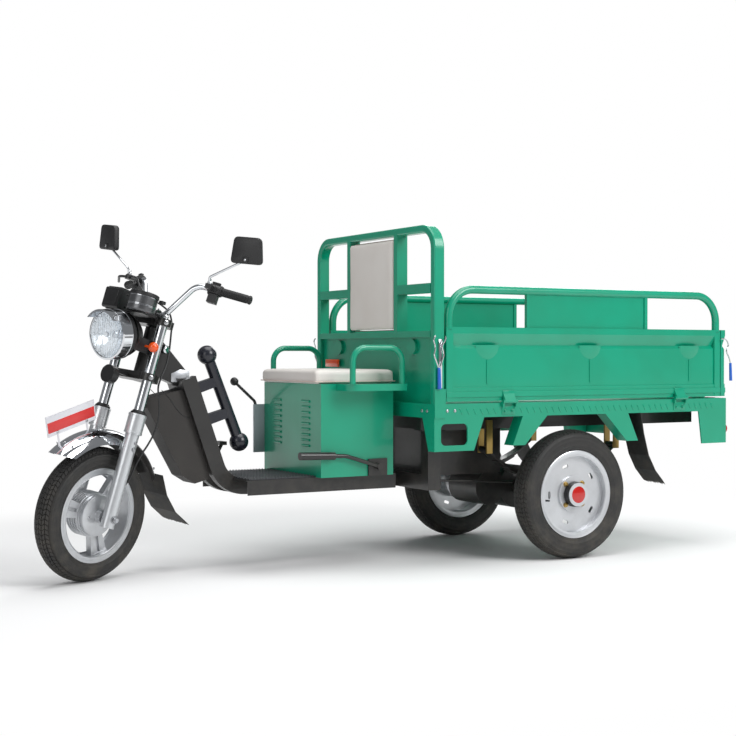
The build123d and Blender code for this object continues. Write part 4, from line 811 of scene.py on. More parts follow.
@dataclass
class Fork:
    """Bolts, seals and nuts of the fork."""

    band_levels: tuple[float, float] = (0.319, 0.384)
    pinch_ahead: float = 0.014
    pinch_side: float = 0.028
    slider_side: float = 0.0262
    slider_bolts: tuple[tuple[float, float], ...] = ((0.262, 0.008), (0.286, 0.006))
    half_yoke: float = 0.014
    clamp: Point = (0.008, 0.018, 0.793)

    def build(self) -> None:
        """Makes the pieces."""
        leg = Matrix.Translation((FORK_OFFSET, HALF_LEG, 0.0))
        seals = Part("fork_seals", RUBBER, Body.STEERING, STEER)
        seals.turned([(0.0192, 0.390), (0.029, 0.390), (0.0285, 0.3975), (0.0245, 0.401), (0.0215, 0.406),
                      (0.0192, 0.406)], leg, 48, True)
        seals.twin().done()
        bands = Part("fork_collar_bands", SLIDER, Body.STEERING, STEER)
        for level in self.band_levels:
            bands.ring(0.0325, 0.0342, level, 0.006, 0.0012, leg, 48)
        bands.twin().done()
        bolts = Part("fork_bolts", STEEL, Body.STEERING, STEER)
        for level in (LOWER_YOKE, TOP_YOKE):
            at = (FORK_OFFSET + self.pinch_ahead, HALF_LEG + self.pinch_side, level)
            bolts.bolt(at, (0.4, 1.0, 0.0), 0.009)
        bolts.bolt((FORK_OFFSET, HALF_LEG, TOP_YOKE + self.half_yoke), UP, 0.017)
        for level, size in self.slider_bolts:
            bolts.bolt((FORK_OFFSET, HALF_LEG + self.slider_side, level), LEFT, size)
        bolts.twin()
        bolts.bolt((0.0, 0.0, TOP_YOKE + self.half_yoke), UP, 0.020)
        for side in (-1.0, 1.0):
            bolts.bolt((self.clamp[0], side * self.clamp[1], self.clamp[2]), UP, 0.007)
        bolts.done()


@dataclass
class Headlamp:
    """Lens with flutes, reflector, bulb and the bezel's slit."""

    radius: float = 0.0845
    sag: float = 0.0158
    bezel: float = 0.0921

    def axis(self) -> Matrix:
        """Gives the lamp's place with local Z pointing ahead."""
        return LAMP @ Matrix.Rotation(math.pi / 2, 4, "Y")

    def build(self) -> None:
        """Makes the pieces."""
        place = self.axis()
        lens = Part("headlamp_glass", GLASS, Body.STEERING, place, replaces=("headlamp_lens",))
        outer, inner = [], []
        for number in range(13):
            share = number / 12
            level = self.sag * (1.0 - share ** 2)
            outer.append((self.radius * share, level))
            inner.append((self.radius * share, level - 0.003 - 0.0006 * (number % 2)))
        lens.turned(outer + inner[::-1], sides=72)
        lens.done()
        flutes = Part("headlamp_flutes", GLASS, Body.STEERING, place)
        for number in range(-6, 7):
            side = number * 0.0115
            reach = math.sqrt(max(0.0, 0.078 ** 2 - side ** 2))
            level = self.sag * (1.0 - (side / self.radius) ** 2) - 0.0062
            level -= 0.008 * (reach / self.radius) ** 2
            flutes.drum((-reach, side, level), (reach, side, level), 0.0022, edge=0.0, sides=10)
        flutes.done()
        bowl = Part("headlamp_reflector", MIRROR, Body.STEERING, place)
        rows = [(0.0845 * math.sqrt(n / 16), -0.043 + 0.040 * n / 16) for n in range(17)]
        back = [(max(0.0, r - 0.001), h - 0.0015) for r, h in reversed(rows)]
        bowl.turned(rows + back, sides=72)
        bowl.done()
        bulb = Part("headlamp_bulb", GLASS, Body.STEERING, place)
        bulb.ball((0.0, 0.0, -0.012), 0.009, (1.0, 1.0, 1.6), 24)
        bulb.done()
        cap = Part("headlamp_bulb_cap", CHROME, Body.STEERING, place)
        cap.turned([(0.0, 0.006), (0.009, 0.005), (0.011, 0.001), (0.011, -0.003), (0.0102, -0.003),
                    (0.0, 0.004)], sides=40)
        cap.turned([(0.0, -0.043), (0.013, -0.043), (0.013, -0.030), (0.010, -0.026), (0.0, -0.026)],
                   sides=40)
        cap.done()
        bead = Part("headlamp_bezel_beads", CHROME, Body.STEERING, place)
        for level, proud in ((0.0, 0.0012), (-0.0425, 0.0014)):
            bead.turned([(0.0850, level - 0.001), (0.0915, level - 0.0015), (0.0920 + proud, level),
                         (0.0915, level + 0.0018), (0.0862, level + 0.0024), (0.0850, level + 0.001)],
                        sides=96, closed=True)
        bead.done()
        back = Part("headlamp_bucket_back", BLACK, Body.STEERING, place)
        back.turned([(0.0, -0.136), (0.040, -0.1355), (0.051, -0.131), (0.066, -0.114), (0.076, -0.098),
                     (0.0815, -0.085), (0.0815, -0.080), (0.0, -0.080)], sides=72)
        back.done()
        slit = Part("headlamp_bezel_slit", RUBBER, Body.STEERING, place)
        for side in (-1.0, 1.0):
            middle = side * self.bezel
            slit.block((-0.002, middle - 0.0012, -0.040), (0.002, middle + 0.0012, -0.002), 0.0003)
        slit.done()


@dataclass
class Dash:
    """Gauge face, warning lamps, box trim and lock."""

    gauge: tuple[float, float] = (FORK_OFFSET + 0.102, 0.068)
    top: float = TOP_YOKE + 0.0763
    low: Point = (0.098, -0.109, 0.7483)
    high: Point = (0.176, -0.027, 0.8263)
    lock: Point = (-0.008, 0.0947, 0.653)
    marks: int = 24
    mark_radius: float = 0.044

    def build(self) -> None:
        """Makes the gauge, the instrument box and the lock."""
        self.build_gauge(STEER @ Matrix.Translation((*self.gauge, 0.0)))
        self.build_box()
        lock = Part("lock_face", CHROME, Body.STEERING, STEER)
        lock.turned([(0.0, 0.0035), (0.0085, 0.0035), (0.0105, 0.0022), (0.0135, 0.0018), (0.0148, 0.0),
                     (0.0, 0.0)], Matrix.Translation(self.lock) @ Matrix.Rotation(-math.pi / 2, 4, "X"), 40)
        lock.done()

    def build_gauge(self, place: Matrix) -> None:
        """Makes the gauge's rim, rings, glass, marks and tab.

        Args:
            place: the gauge's axis.
        """
        top = self.top
        rim = Part("gauge_rim", PLASTIC, Body.STEERING, place)
        rim.turned([(0.0475, top - 0.010), (0.0545, top - 0.010), (0.0552, top - 0.004),
                    (0.0540, top + 0.003), (0.0500, top + 0.005), (0.0475, top + 0.004)],
                   sides=72, closed=True)
        rim.done()
        rings = Part("gauge_rings", CHROME, Body.STEERING, place)
        for drop, proud in ((0.044, 0.0006), (0.048, 0.0014), (0.014, 0.0006)):
            rings.ring(0.0525, 0.0530 + proud, top - drop, 0.0026, 0.0006)
        rings.done()
        glass = Part("gauge_glass", GLASS, Body.STEERING, place)
        glass.turned([(0.0, top + 0.0035), (0.030, top + 0.0032), (0.0476, top + 0.0015),
                      (0.0476, top + 0.0005), (0.0, top + 0.0015)], sides=64)
        glass.done()
        marks = Part("gauge_marks", PLATE, Body.STEERING, place)
        for number in range(self.marks + 1):
            turn = Matrix.Rotation(math.radians(-60.0 + 300.0 * number / self.marks), 4, "Z")
            long = 0.008 if number % 4 == 0 else 0.004
            marks.block((self.mark_radius - long, -0.0006, top), (self.mark_radius, 0.0006, top + 0.0004),
                        0.0, turn)
        marks.block((-0.006, -0.001, top + 0.0005), (0.034, 0.001, top + 0.0009), 0.0002,
                    Matrix.Rotation(math.radians(-58.0), 4, "Z"))
        marks.done()
        hub = Part("gauge_hub", RED, Body.STEERING, place)
        hub.drum((0.0, 0.0, top), (0.0, 0.0, top + 0.0014), 0.004, edge=0.0003, sides=24)
        hub.done()
        tab = Part("gauge_tab", PLASTIC, Body.STEERING, STEER)
        tab.block((FORK_OFFSET + 0.048, 0.112, top - 0.020), (FORK_OFFSET + 0.068, 0.131, top - 0.008), 0.002)
        tab.drum((0.107, 0.068, top - 0.074), (0.107, 0.068, top - 0.066), 0.036, 0.044, sides=48)
        tab.done()

    def build_box(self) -> None:
        """Makes the instrument box's panels, screws and warning lamps."""
        low, high = self.low, self.high
        box = Part("instrument_trim", PLASTIC, Body.STEERING, STEER)
        box.block((low[0] + 0.006, low[1] + 0.006, high[2] - 0.001),
                  (high[0] - 0.006, high[1] - 0.006, high[2] + 0.003), 0.002)
        box.block((high[0] - 0.001, low[1] + 0.012, low[2] + 0.012),
                  (high[0] + 0.002, high[1] - 0.012, high[2] - 0.012), 0.0015)
        for side, way in ((low[1] - 0.0004, -1.0), (high[1] + 0.0004, 1.0)):
            for level in (0.765, 0.810):
                box.pin((0.137, side, level), (0.0, way, 0.0), 0.005, 0.002)
        box.done()
        lamps = Part("instrument_lamps", RED, Body.STEERING, STEER)
        for number in range(3):
            lamps.pin((0.118 + 0.019 * number, -0.068, high[2] + 0.003), UP, 0.0055, 0.0025)
        lamps.done()


MIRROR_BACK = 0.1523
MIRROR_AHEAD = 0.050
BAR_KNEE = Vector((-0.030, 0.137, 0.915))
BAR_END = Vector((-0.127, 0.325, 0.904))


def grip_place(back: float, ahead: float = 0.0, up: float = 0.0) -> Matrix:
    """Gives a place beside the left grip, with local Z along the bar towards its end.

    Args:
        back: how far back from the bar's end.
        ahead: how far ahead of the bar.
        up: how far above it.

    Returns:
        The place in the steering frame.
    """
    run = (BAR_END - BAR_KNEE).normalized()
    front = Vector((run.y, -run.x, 0.0)).normalized()
    over = run.cross(front)
    turn = Matrix((front, over, run)).transposed().to_4x4()
    return Matrix.Translation(BAR_END - run * back + front * ahead + Vector((0.0, 0.0, up))) @ turn


@dataclass
class Handlebar:
    """Ribbed grips, switches, clamps and the mirrors' trim."""

    grip: float = 0.118
    ribs: int = 26
    rib_pitch: float = 0.0038

    def build(self) -> None:
        """Makes the pieces."""
        grips = Part("grip_ribs", RUBBER, Body.STEERING, STEER, replaces=("handlebar_grips",))
        profile = [(0.0, 0.006), (0.0120, 0.006), (0.0165, 0.003), (0.0172, -0.002), (0.0150, -0.006)]
        for number in range(self.ribs):
            level = -0.010 - number * self.rib_pitch
            profile += [(0.0150, level), (0.0162, level - 0.0008), (0.0162, level - 0.0026),
                        (0.0150, level - 0.0032)]
        profile += [(0.0150, -0.110), (0.0200, -0.111), (0.0205, -0.1145), (0.0200, -0.1178),
                    (0.0112, -0.1178), (0.0112, 0.0)]
        grips.turned(profile, grip_place(0.0), 40)
        grips.twin().done()
        trim = Part("switch_trim", PLASTIC, Body.STEERING, STEER)
        place = grip_place(self.grip + 0.022)
        for level in (-0.0225, 0.0, 0.0215):
            trim.ring(0.0205, 0.0222, level, 0.0022, 0.0006, place, 40)
        trim.block((-0.006, -0.030, -0.016), (0.007, -0.019, 0.016), 0.002, place)
        trim.block((0.015, -0.010, -0.012), (0.0245, 0.008, 0.012), 0.002, place)
        trim.twin().done()
        keys = Part("switch_keys", GREY, Body.STEERING, STEER)
        keys.block((-0.0243, -0.007, -0.011), (-0.0195, 0.003, -0.002), 0.001, place)
        keys.block((-0.0243, -0.007, 0.003), (-0.0195, 0.003, 0.010), 0.001, place)
        keys.twin().done()
        clamps = Part("perch_bolts", STEEL, Body.STEERING, STEER)
        perch = grip_place(self.grip + 0.0343 + 0.012)
        clamps.bolt(tuple(perch @ Vector((0.030, 0.0, 0.0142))), tuple(perch.to_3x3() @ Vector(UP)), 0.006)
        clamps.bolt(tuple(grip_place(MIRROR_BACK, MIRROR_AHEAD) @ Vector((0.0, -0.009, 0.0))), UP, 0.008)
        clamps.twin().done()


def rounded(corners: Sequence[tuple[float, float]], radius: float,
            steps: int = 6) -> list[tuple[float, float]]:
    """Rounds the corners of a flat outline.

    Args:
        corners: its corner points, in order.
        radius: how far from each corner the round starts.
        steps: points along each round.

    Returns:
        The rounded outline.
    """
    points = []
    for number, corner in enumerate(corners):
        here = Vector(corner)
        before = (Vector(corners[number - 1]) - here).normalized() * radius
        after = (Vector(corners[(number + 1) % len(corners)]) - here).normalized() * radius
        for step in range(steps + 1):
            share = step / steps
            point = here + before * (1.0 - share) ** 2 + after * share ** 2
            points.append((point.x, point.y))
    return points


@dataclass
class MirrorTrim:
    """Stems, shells, glass and pivots of the two mirrors."""

    def place(self) -> Matrix:
        """Gives the left mirror's middle in the steering frame, as its solid has it."""
        root = grip_place(MIRROR_BACK, MIRROR_AHEAD, 0.0045).translation
        head = root + Vector((0.012, 0.152, 0.142))
        return (Matrix.Translation(head) @ Matrix.Rotation(RAKE, 4, "Y")
                @ Matrix.Rotation(math.radians(14.0), 4, "Z"))

    def build(self) -> None:
        """Makes the pieces."""
        place = self.place()
        stems = Part("mirror_stems", CHROME, Body.STEERING, STEER, replaces=("mirrors",))
        root = grip_place(MIRROR_BACK, MIRROR_AHEAD, 0.0045).translation
        elbow = root + Vector((0.012, 0.0045, 0.0285))
        foot = place @ Vector((0.0, 0.0, -0.0327))
        bend = (root, root.lerp(elbow, 0.8), elbow, elbow.lerp(foot, 0.12), foot)
        stems.tube([tuple(point) for point in bend], 0.0045, 12)
        stems.twin().done()
        shells = Part("mirror_shells", PLASTIC, Body.STEERING, STEER)
        outline = rounded(((0.064, -0.049), (0.0535, 0.049), (-0.0535, 0.049), (-0.064, -0.049)), 0.018)
        shells.slab([tuple(place @ Vector((-0.012, y, z))) for y, z in outline],
                    tuple(place.to_3x3() @ Vector((0.024, 0.0, 0.0))), 0.005)
        shells.twin().done()
        glass = Part("mirror_glass", MIRROR, Body.STEERING, STEER)
        outline = ((-0.053, -0.040), (0.053, -0.040), (0.045, 0.040), (-0.045, 0.040))
        glass.slab([tuple(place @ Vector((-0.0128, y, z))) for y, z in outline],
                   tuple(place.to_3x3() @ Vector((0.001, 0.0, 0.0))), 0.0)
        glass.twin().done()
        pivot = Part("mirror_pivots", PLASTIC, Body.STEERING, STEER)
        foot = place @ Matrix.Translation((0.0115, 0.0, -0.033))
        pivot.block((-0.004, -0.012, -0.012), (0.004, 0.012, 0.010), 0.003, foot)
        pivot.twin().done()
        screw = Part("mirror_screws", STEEL, Body.STEERING, STEER)
        at = place @ Vector((0.0155, 0.0, -0.034))
        screw.pin(tuple(at), tuple(place.to_3x3() @ Vector((1.0, 0.0, 0.0))), 0.005, 0.002)
        screw.twin().done()
        nuts = Part("mirror_stem_nuts", CHROME, Body.STEERING, STEER)
        root = grip_place(MIRROR_BACK, MIRROR_AHEAD, 0.009).translation
        nuts.drum(tuple(root), tuple(root + Vector((0.0, 0.0, 0.010))), 0.009, edge=0.0007, sides=6)
        nuts.drum(tuple(root + Vector((0.0, 0.0, 0.010))), tuple(root + Vector((0.003, 0.0, 0.020))),
                  0.0062, 0.005)
        nuts.twin().done()


@dataclass
class FenderTrim:
    """Bands and screws of the plate, screws of the fender and its flap."""

    foot: Point = (0.004, 0.0, 0.352)
    tilt: float = math.radians(14.0)
    length: float = 0.226
    height: float = 0.075
    rim: float = 0.0022
    half_rim: float = 0.0018
    screw_shares: tuple[float, float] = (0.2, 0.8)
    crest: float = 0.3152
    screw_angles: tuple[float, ...] = (150.0, 118.0, 62.0)
    bolt_side: float = 0.040

    def build(self) -> None:
        """Makes the pieces."""
        place = UPRIGHT @ Matrix.Translation(self.foot) @ Matrix.Rotation(self.tilt, 4, "Y")
        band = Part("plate_red_bands", PLATE_RED, Body.STEERING, place)
        band.block((0.004, -0.0014, 0.013), (self.length - 0.004, 0.0014, 0.051), 0.0004)
        band.done()
        rim = Part("plate_rim", PLATE, Body.STEERING, place)
        for left, right, low, high in ((0.0, self.length, 0.0, self.rim),
                                       (0.0, self.length, self.height - self.rim, self.height),
                                       (0.0, self.rim, 0.0, self.height),
                                       (self.length - self.rim, self.length, 0.0, self.height)):
            rim.block((left, -self.half_rim, low), (right, self.half_rim, high), 0.0005)
        rim.done()
        screws = Part("plate_screws", STEEL, Body.STEERING, place)
        for share in self.screw_shares:
            for side in (-1.0, 1.0):
                screws.pin((self.length * share, side * 0.0014, 0.008), (0.0, side, 0.0), 0.0055, 0.003)
        screws.done()
        pins = Part("fender_screws", STEEL, Body.STEERING, UPRIGHT)
        for angle in self.screw_angles:
            turn = math.radians(angle)
            out = Vector((math.cos(turn), 0.0, math.sin(turn)))
            pins.pin(tuple(out * self.crest), tuple(out), 0.006, 0.003)
            for side in (1.0, -1.0):
                at = out * (self.crest - 0.012) + Vector((0.0, side * self.bolt_side, 0.0))
                pins.bolt(tuple(at), tuple(out + Vector((0.0, side * 1.1, 0.0))), 0.005)
        pins.done()


@dataclass
class SoftPad:
    """A stuffed vinyl pad, swollen by a cloth simulation, with its piping."""

    name: str
    node: str
    low: Point
    high: Point
    press: float
    cap: float
    round: float
    thin_axis: int
    flat_side: float

    def core(self) -> bpy.types.Object:
        """Makes the pad's starting shape.

        Returns:
            The object, a little smaller than the solid.
        """
        mesh = bmesh.new()
        bmesh.ops.create_cube(mesh, size=1.0)
        size = [b - a for a, b in zip(self.low, self.high)]
        middle = [(a + b) / 2 for a, b in zip(self.low, self.high)]
        bmesh.ops.scale(mesh, vec=size, verts=mesh.verts)
        bmesh.ops.translate(mesh, vec=middle, verts=mesh.verts)
        bevel_edges(mesh, self.round, segments=4)
        data = bpy.data.meshes.new(self.name)
        mesh.to_mesh(data)
        mesh.free()
        made = bpy.data.objects.new(self.name, data)
        bpy.context.scene.collection.objects.link(made)
        return made

    def swell(self, made: bpy.types.Object) -> None:
        """Remeshes the pad and swells it with cloth pressure.

        Args:
            made: the pad's object.
        """
        remesh = made.modifiers.new("voxels", "REMESH")
        remesh.mode = "VOXEL"
        remesh.voxel_size = 0.006
        apply_modifiers(made)
        rest = [v.co.copy() for v in made.data.vertices]
        cloth = made.modifiers.new("cloth", "CLOTH")
        cloth.settings.use_pressure = True
        cloth.settings.uniform_pressure_force = self.press
        cloth.settings.effector_weights.gravity = 0.0
        cloth.settings.quality = 5
        cloth.settings.tension_stiffness = 15.0
        cloth.point_cache.frame_start = 1
        cloth.point_cache.frame_end = 20
        scene = bpy.context.scene
        for number in range(1, 21):
            scene.frame_set(number)
        apply_modifiers(made)
        scene.frame_set(1)
        base = self.low[self.thin_axis] if self.flat_side < 0 else self.high[self.thin_axis]
        for vertex, start in zip(made.data.vertices, rest):
            move = vertex.co - start
            if move.length > self.cap:
                move = move.normalized() * self.cap
            target = start + move
            beyond = (target[self.thin_axis] - base) * -self.flat_side
            if beyond < 0.0:
                target[self.thin_axis] = base
            vertex.co = target

    def piping(self, level: float) -> None:
        """Adds the cord of the seam round the pad.

        Args:
            level: where it lies along the thin axis.
        """
        edge = Part(f"{self.name}_piping", PIPING, Body.CHASSIS)
        axes = [a for a in range(3) if a != self.thin_axis]
        corners = []
        for first, second in ((0, 0), (1, 0), (1, 1), (0, 1)):
            point = [0.0, 0.0, 0.0]
            bounds = (self.low, self.high)
            out = 0.0006
            point[axes[0]] = bounds[first][axes[0]] + (out if first else -out)
            point[axes[1]] = bounds[second][axes[1]] + (out if second else -out)
            point[self.thin_axis] = level
            corners.append(Vector(point))
        cut = self.round * 1.3
        points: list[Point] = []
        for number, corner in enumerate(corners):
            before = (corners[number - 1] - corner).normalized()
            after = (corners[(number + 1) % 4] - corner).normalized()
            points += [tuple(corner + before * cut), tuple(corner), tuple(corner + after * cut)]
        points.append(points[0])
        edge.tube(points, 0.0022, 8)
        edge.done()

    def build(self) -> None:
        """Makes the pad."""
        made = self.core()
        self.swell(made)
        smooth = made.modifiers.new("smooth", "SUBSURF")
        smooth.levels = 1
        smooth.render_levels = 1
        for face in made.data.polygons:
            face.use_smooth = True
        made.data.materials.append(VINYL.material())
        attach(made, Body.CHASSIS.value)
        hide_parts(self.node)
        self.piping(self.low[self.thin_axis] + 0.008)
        LOG.info("%s: %d faces", self.name, len(made.data.polygons))


def apply_modifiers(made: bpy.types.Object) -> None:
    """Turns an object's modifiers into its mesh.

    Args:
        made: the object.
    """
    graph = bpy.context.evaluated_depsgraph_get()
    data = bpy.data.meshes.new_from_object(made.evaluated_get(graph))
    made.modifiers.clear()
    made.data = data


@dataclass
class NeckTrim:
    """Seams, clips and wedge of the neck's cover."""

    side: float = 0.0562

    seam: tuple[tuple[float, float], ...] = (
        (0.992, 0.699), (0.962, 0.672), (0.930, 0.622), (0.900, 0.597), (0.868, 0.589), (0.838, 0.577))
    wedge: tuple[tuple[float, float], ...] = (
        (0.868, 0.728), (0.942, 0.728), (0.942, 0.760), (0.906, 0.776), (0.868, 0.771))
    half_wedge: float = 0.027

    def build(self) -> None:
        """Makes the pieces."""
        seam = Part("neck_cover_seams", RUBBER, Body.CHASSIS)
        seam.tube([(x, self.side, z) for x, z in self.seam], 0.0014, 6)
        seam.twin().done()
        clip = Part("neck_cover_clips", CHROME, Body.CHASSIS)
        clip.block((0.846, self.side - 0.001, 0.577), (0.866, self.side + 0.002, 0.589), 0.0008)
        clip.twin().done()
        wedge = Part("neck_wedge", CAST, Body.CHASSIS)
        wedge.slab([(x, -self.half_wedge, z) for x, z in self.wedge], (0.0, 2 * self.half_wedge, 0.0), 0.0015)
        wedge.done()


@dataclass
class FloorMat:
    """Rubber mat with slanted ribs."""

    low: Point = (0.4204, -0.204, 0.3602)
    high: Point = (0.7035, 0.204, 0.3640)
    rib: float = 0.0045
    pitch: float = 0.013
    slant: float = 0.5
    rise: float = 0.003

    def ribs(self) -> bmesh.types.BMesh:
        """Gives the ribs, cut off at the mat's edges."""
        ribs = bmesh.new()
        reach = self.high[1] - self.low[1]
        turn = Matrix.Rotation(-math.atan(self.slant), 4, "Z")
        count = int((self.high[0] - self.low[0] + self.slant * reach) / self.pitch) + 3
        for number in range(count):
            across = self.low[0] - self.slant * reach / 2 + number * self.pitch
            made = bmesh.ops.create_cube(ribs, size=1.0)
            bmesh.ops.scale(ribs, vec=(self.rib, reach * 1.3, self.rise), verts=made["verts"])
            bmesh.ops.transform(ribs, matrix=turn, verts=made["verts"])
            bmesh.ops.translate(ribs, vec=(across, 0.0, self.high[2] + self.rise / 2), verts=made["verts"])
        for point, normal in (((self.low[0], 0, 0), (-1, 0, 0)), ((self.high[0], 0, 0), (1, 0, 0)),
                              ((0, self.low[1], 0), (0, -1, 0)), ((0, self.high[1], 0), (0, 1, 0))):
            bmesh.ops.bisect_plane(ribs, geom=everything(ribs), plane_co=point, plane_no=normal,
                                   clear_outer=True, dist=1e-6)
            bmesh.ops.holes_fill(ribs, edges=[e for e in ribs.edges if e.is_boundary], sides=8)
        return ribs

    def build(self) -> None:
        """Makes the mat."""
        part = Part("floor_mat_ribs", MAT, Body.CHASSIS, replaces=("floor_mat",))
        part.block(self.low, self.high, 0.0006)
        part.join(self.ribs())
        part.done()


GATES = (("left", Body.LEFT_GATE, 1.0), ("right", Body.RIGHT_GATE, -1.0))


@dataclass
class Latches:
    """Chrome hooks with blue sleeves at the gates' ends."""

    side: float = 0.4845
    wire: float = 0.0028
    front_wires: tuple[tuple[tuple[float, float], ...], ...] = (
        ((0.054, 0.902), (0.066, 0.893), (0.052, 0.860), (0.062, 0.832), (0.046, 0.800), (0.037, 0.772)),
        ((0.008, 0.902), (0.007, 0.888), (0.028, 0.866), (0.014, 0.835), (0.026, 0.805), (0.036, 0.775)))
    rear_wire: tuple[tuple[float, float], ...] = (
        (-1.418, 0.900), (-1.446, 0.902), (-1.466, 0.872), (-1.446, 0.846), (-1.470, 0.815), (-1.474, 0.790))

    def build(self) -> None:
        """Makes the pieces."""
        hooks = Part("latch_hooks", CHROME, Body.CHASSIS, replaces=("gate_latches",))
        hooks.block((0.021, 0.4747, 0.7035), (0.036, 0.4810, 0.890), 0.001)
        for line in self.front_wires:
            hooks.tube([(x, self.side, z) for x, z in line], self.wire, 8)
        hooks.twin().done()
        sleeves = Part("latch_sleeves", BLUE, Body.CHASSIS)
        sleeves.drum((0.036, self.side, 0.700), (0.038, self.side, 0.782), 0.0078, 0.0060)
        sleeves.twin().done()
        for word, body, way in GATES:
            hook = Part(f"{word}_gate_hook", CHROME, body)
            hook.tube([(x, way * self.side, z) for x, z in self.rear_wire], self.wire, 8)
            hook.done()
            sleeve = Part(f"{word}_gate_sleeve", BLUE, body)
            sleeve.drum((-1.474, way * self.side, 0.795), (-1.477, way * self.side, 0.718), 0.0055, 0.0068)
            sleeve.done()


@dataclass
class BedTrim:
    """Raised ticks and bolts of the sills, hinge plates and the bulkhead's reflector."""

    side: float = 0.475
    hinges: tuple[float, float] = (-0.293, -1.185)
    ticks: int = 42
    tick_start: float = -0.070
    tick_pitch: float = 0.0318
    tick_level: float = 0.612
    tick_lean: float = math.radians(28.0)
    hinge_room: float = 0.042

    def build(self) -> None:
        """Makes the pieces."""
        ticks = Part("sill_ticks", GREEN, Body.CHASSIS)
        lean = Matrix.Rotation(self.tick_lean, 4, "Y")
        for number in range(self.ticks):
            at = self.tick_start - number * self.tick_pitch
            if min(abs(at - hinge) for hinge in self.hinges) < self.hinge_room:
                continue
            place = Matrix.Translation((at, self.side, self.tick_level)) @ lean
            ticks.block((-0.003, -0.001, -0.013), (0.003, 0.0016, 0.013), 0.0008, place)
        ticks.twin().done()
        plates = Part("hinge_plates", GREEN, Body.CHASSIS)
        pins = Part("sill_bolts", STEEL, Body.CHASSIS)
        for hinge in self.hinges:
            plates.block((hinge - 0.031, self.side - 0.001, 0.596),
                         (hinge + 0.031, self.side + 0.003, 0.630), 0.001)
            for step in (-0.017, 0.017):
                plates.bolt((hinge + step, self.side + 0.003, 0.610), LEFT, 0.007)
        for at in (-0.006, -0.041):
            pins.pin((at, self.side, 0.6155), LEFT, 0.0065, 0.004)
        for at in (0.3875, 0.4235):
            pins.pin((0.0532, at, 0.6145), AHEAD, 0.0065, 0.004)
        plates.twin().done()
        pins.twin().done()
        for word, body, way in GATES:
            tabs = Part(f"{word}_gate_hinge_tabs", GREEN, body)
            for hinge in self.hinges:
                low, high = sorted((way * (self.side - 0.001), way * (self.side + 0.004)))
                tabs.block((hinge - 0.027, low, 0.664), (hinge + 0.027, high, 0.690), 0.0012)
            tabs.done()
        reflector = Part("bulkhead_reflector", ORANGE, Body.CHASSIS)
        reflector.block((0.0440, -0.402, 0.779), (0.0500, -0.286, 0.811), 0.002)
        reflector.done()


@dataclass
class GearLever:
    """Grey gate plate, black bent rod and knob of the gear lever."""

    side: float = -0.2523
    sheet: float = 0.006
    low: tuple[float, float] = (0.3799, 0.430)
    high: tuple[float, float] = (0.4689, 0.628)
    bolts: tuple[tuple[float, float], ...] = ((0.392, 0.455), (0.392, 0.600))
    rod: tuple[tuple[float, float], ...] = (
        (0.4439, 0.529), (0.4560, 0.610), (0.4599, 0.639), (0.4750, 0.652), (0.5529, 0.722))
    rod_radius: float = 0.006
    knob_radius: float = 0.017
    pivot_radius: float = 0.014

    def at(self, point: tuple[float, float], out: float = 0.0) -> Point:
        """Gives a point of the side view, out from the plate's face."""
        return (point[0], self.side - out, point[1])

    def build(self) -> None:
        """Makes the pieces."""
        plate = Part("gear_plate", GREY, Body.CHASSIS, replaces=("gear_lever",))
        plate.block(self.at(self.low), self.at(self.high, -self.sheet), 0.0012)
        for point in self.bolts:
            plate.bolt(self.at(point), (0.0, -1.0, 0.0), 0.006)
        plate.done()
        rod = Part("gear_rod", PLASTIC, Body.CHASSIS)
        rod.tube([self.at(point) for point in self.rod], self.rod_radius, 12)
        rod.ball(self.at(self.rod[-1]), self.knob_radius)
        rod.drum(self.at(self.rod[0], 0.008), self.at(self.rod[0], -0.002), self.pivot_radius)
        rod.done()


@dataclass
class Fringe:
    """Torn lower edges of the rubber flaps."""

    teeth: int = 15
    sheet: float = 0.0035
    short: float = 0.007
    spread: float = 0.006

    def row(self, part: Part, edge: Point, way: Point, width: float) -> None:
        """Adds one row of pointed strips.

        Args:
            part: what they are added to.
            edge: the middle of the flap's lower edge.
            way: the direction that the flap's end points to.
            width: the flap's width.
        """
        foot, reach = Vector(edge), Vector(way).normalized()
        step = width / self.teeth
        for number in range(self.teeth):
            side = -width / 2 + step * number
            long = self.short + self.spread * ((number * 7) % 5) / 4 + self.spread * number / self.teeth
            root = foot - reach * 0.002
            outline = [root + Vector((0.0, side, 0.0)), root + Vector((0.0, side + step * 0.98, 0.0)),
                       foot + reach * long + Vector((0.0, side + step * 0.7, 0.0))]
            part.slab([tuple(point) for point in outline], (-self.sheet, 0.0, 0.0), 0.0)

    def build(self) -> None:
        """Makes the pieces."""
        front = Part("front_flap_fringe", FLAP, Body.STEERING, UPRIGHT)
        self.row(front, (-0.4355, 0.0, -0.0749), (-0.80, 0.0, -0.60), 0.132)
        front.done()
        rear = Part("rear_flap_fringes", FLAP, Body.CHASSIS)
        self.row(rear, (-1.0911, 0.42, 0.2957), (-0.68, 0.0, -0.73), 0.124)
        rear.twin().done()


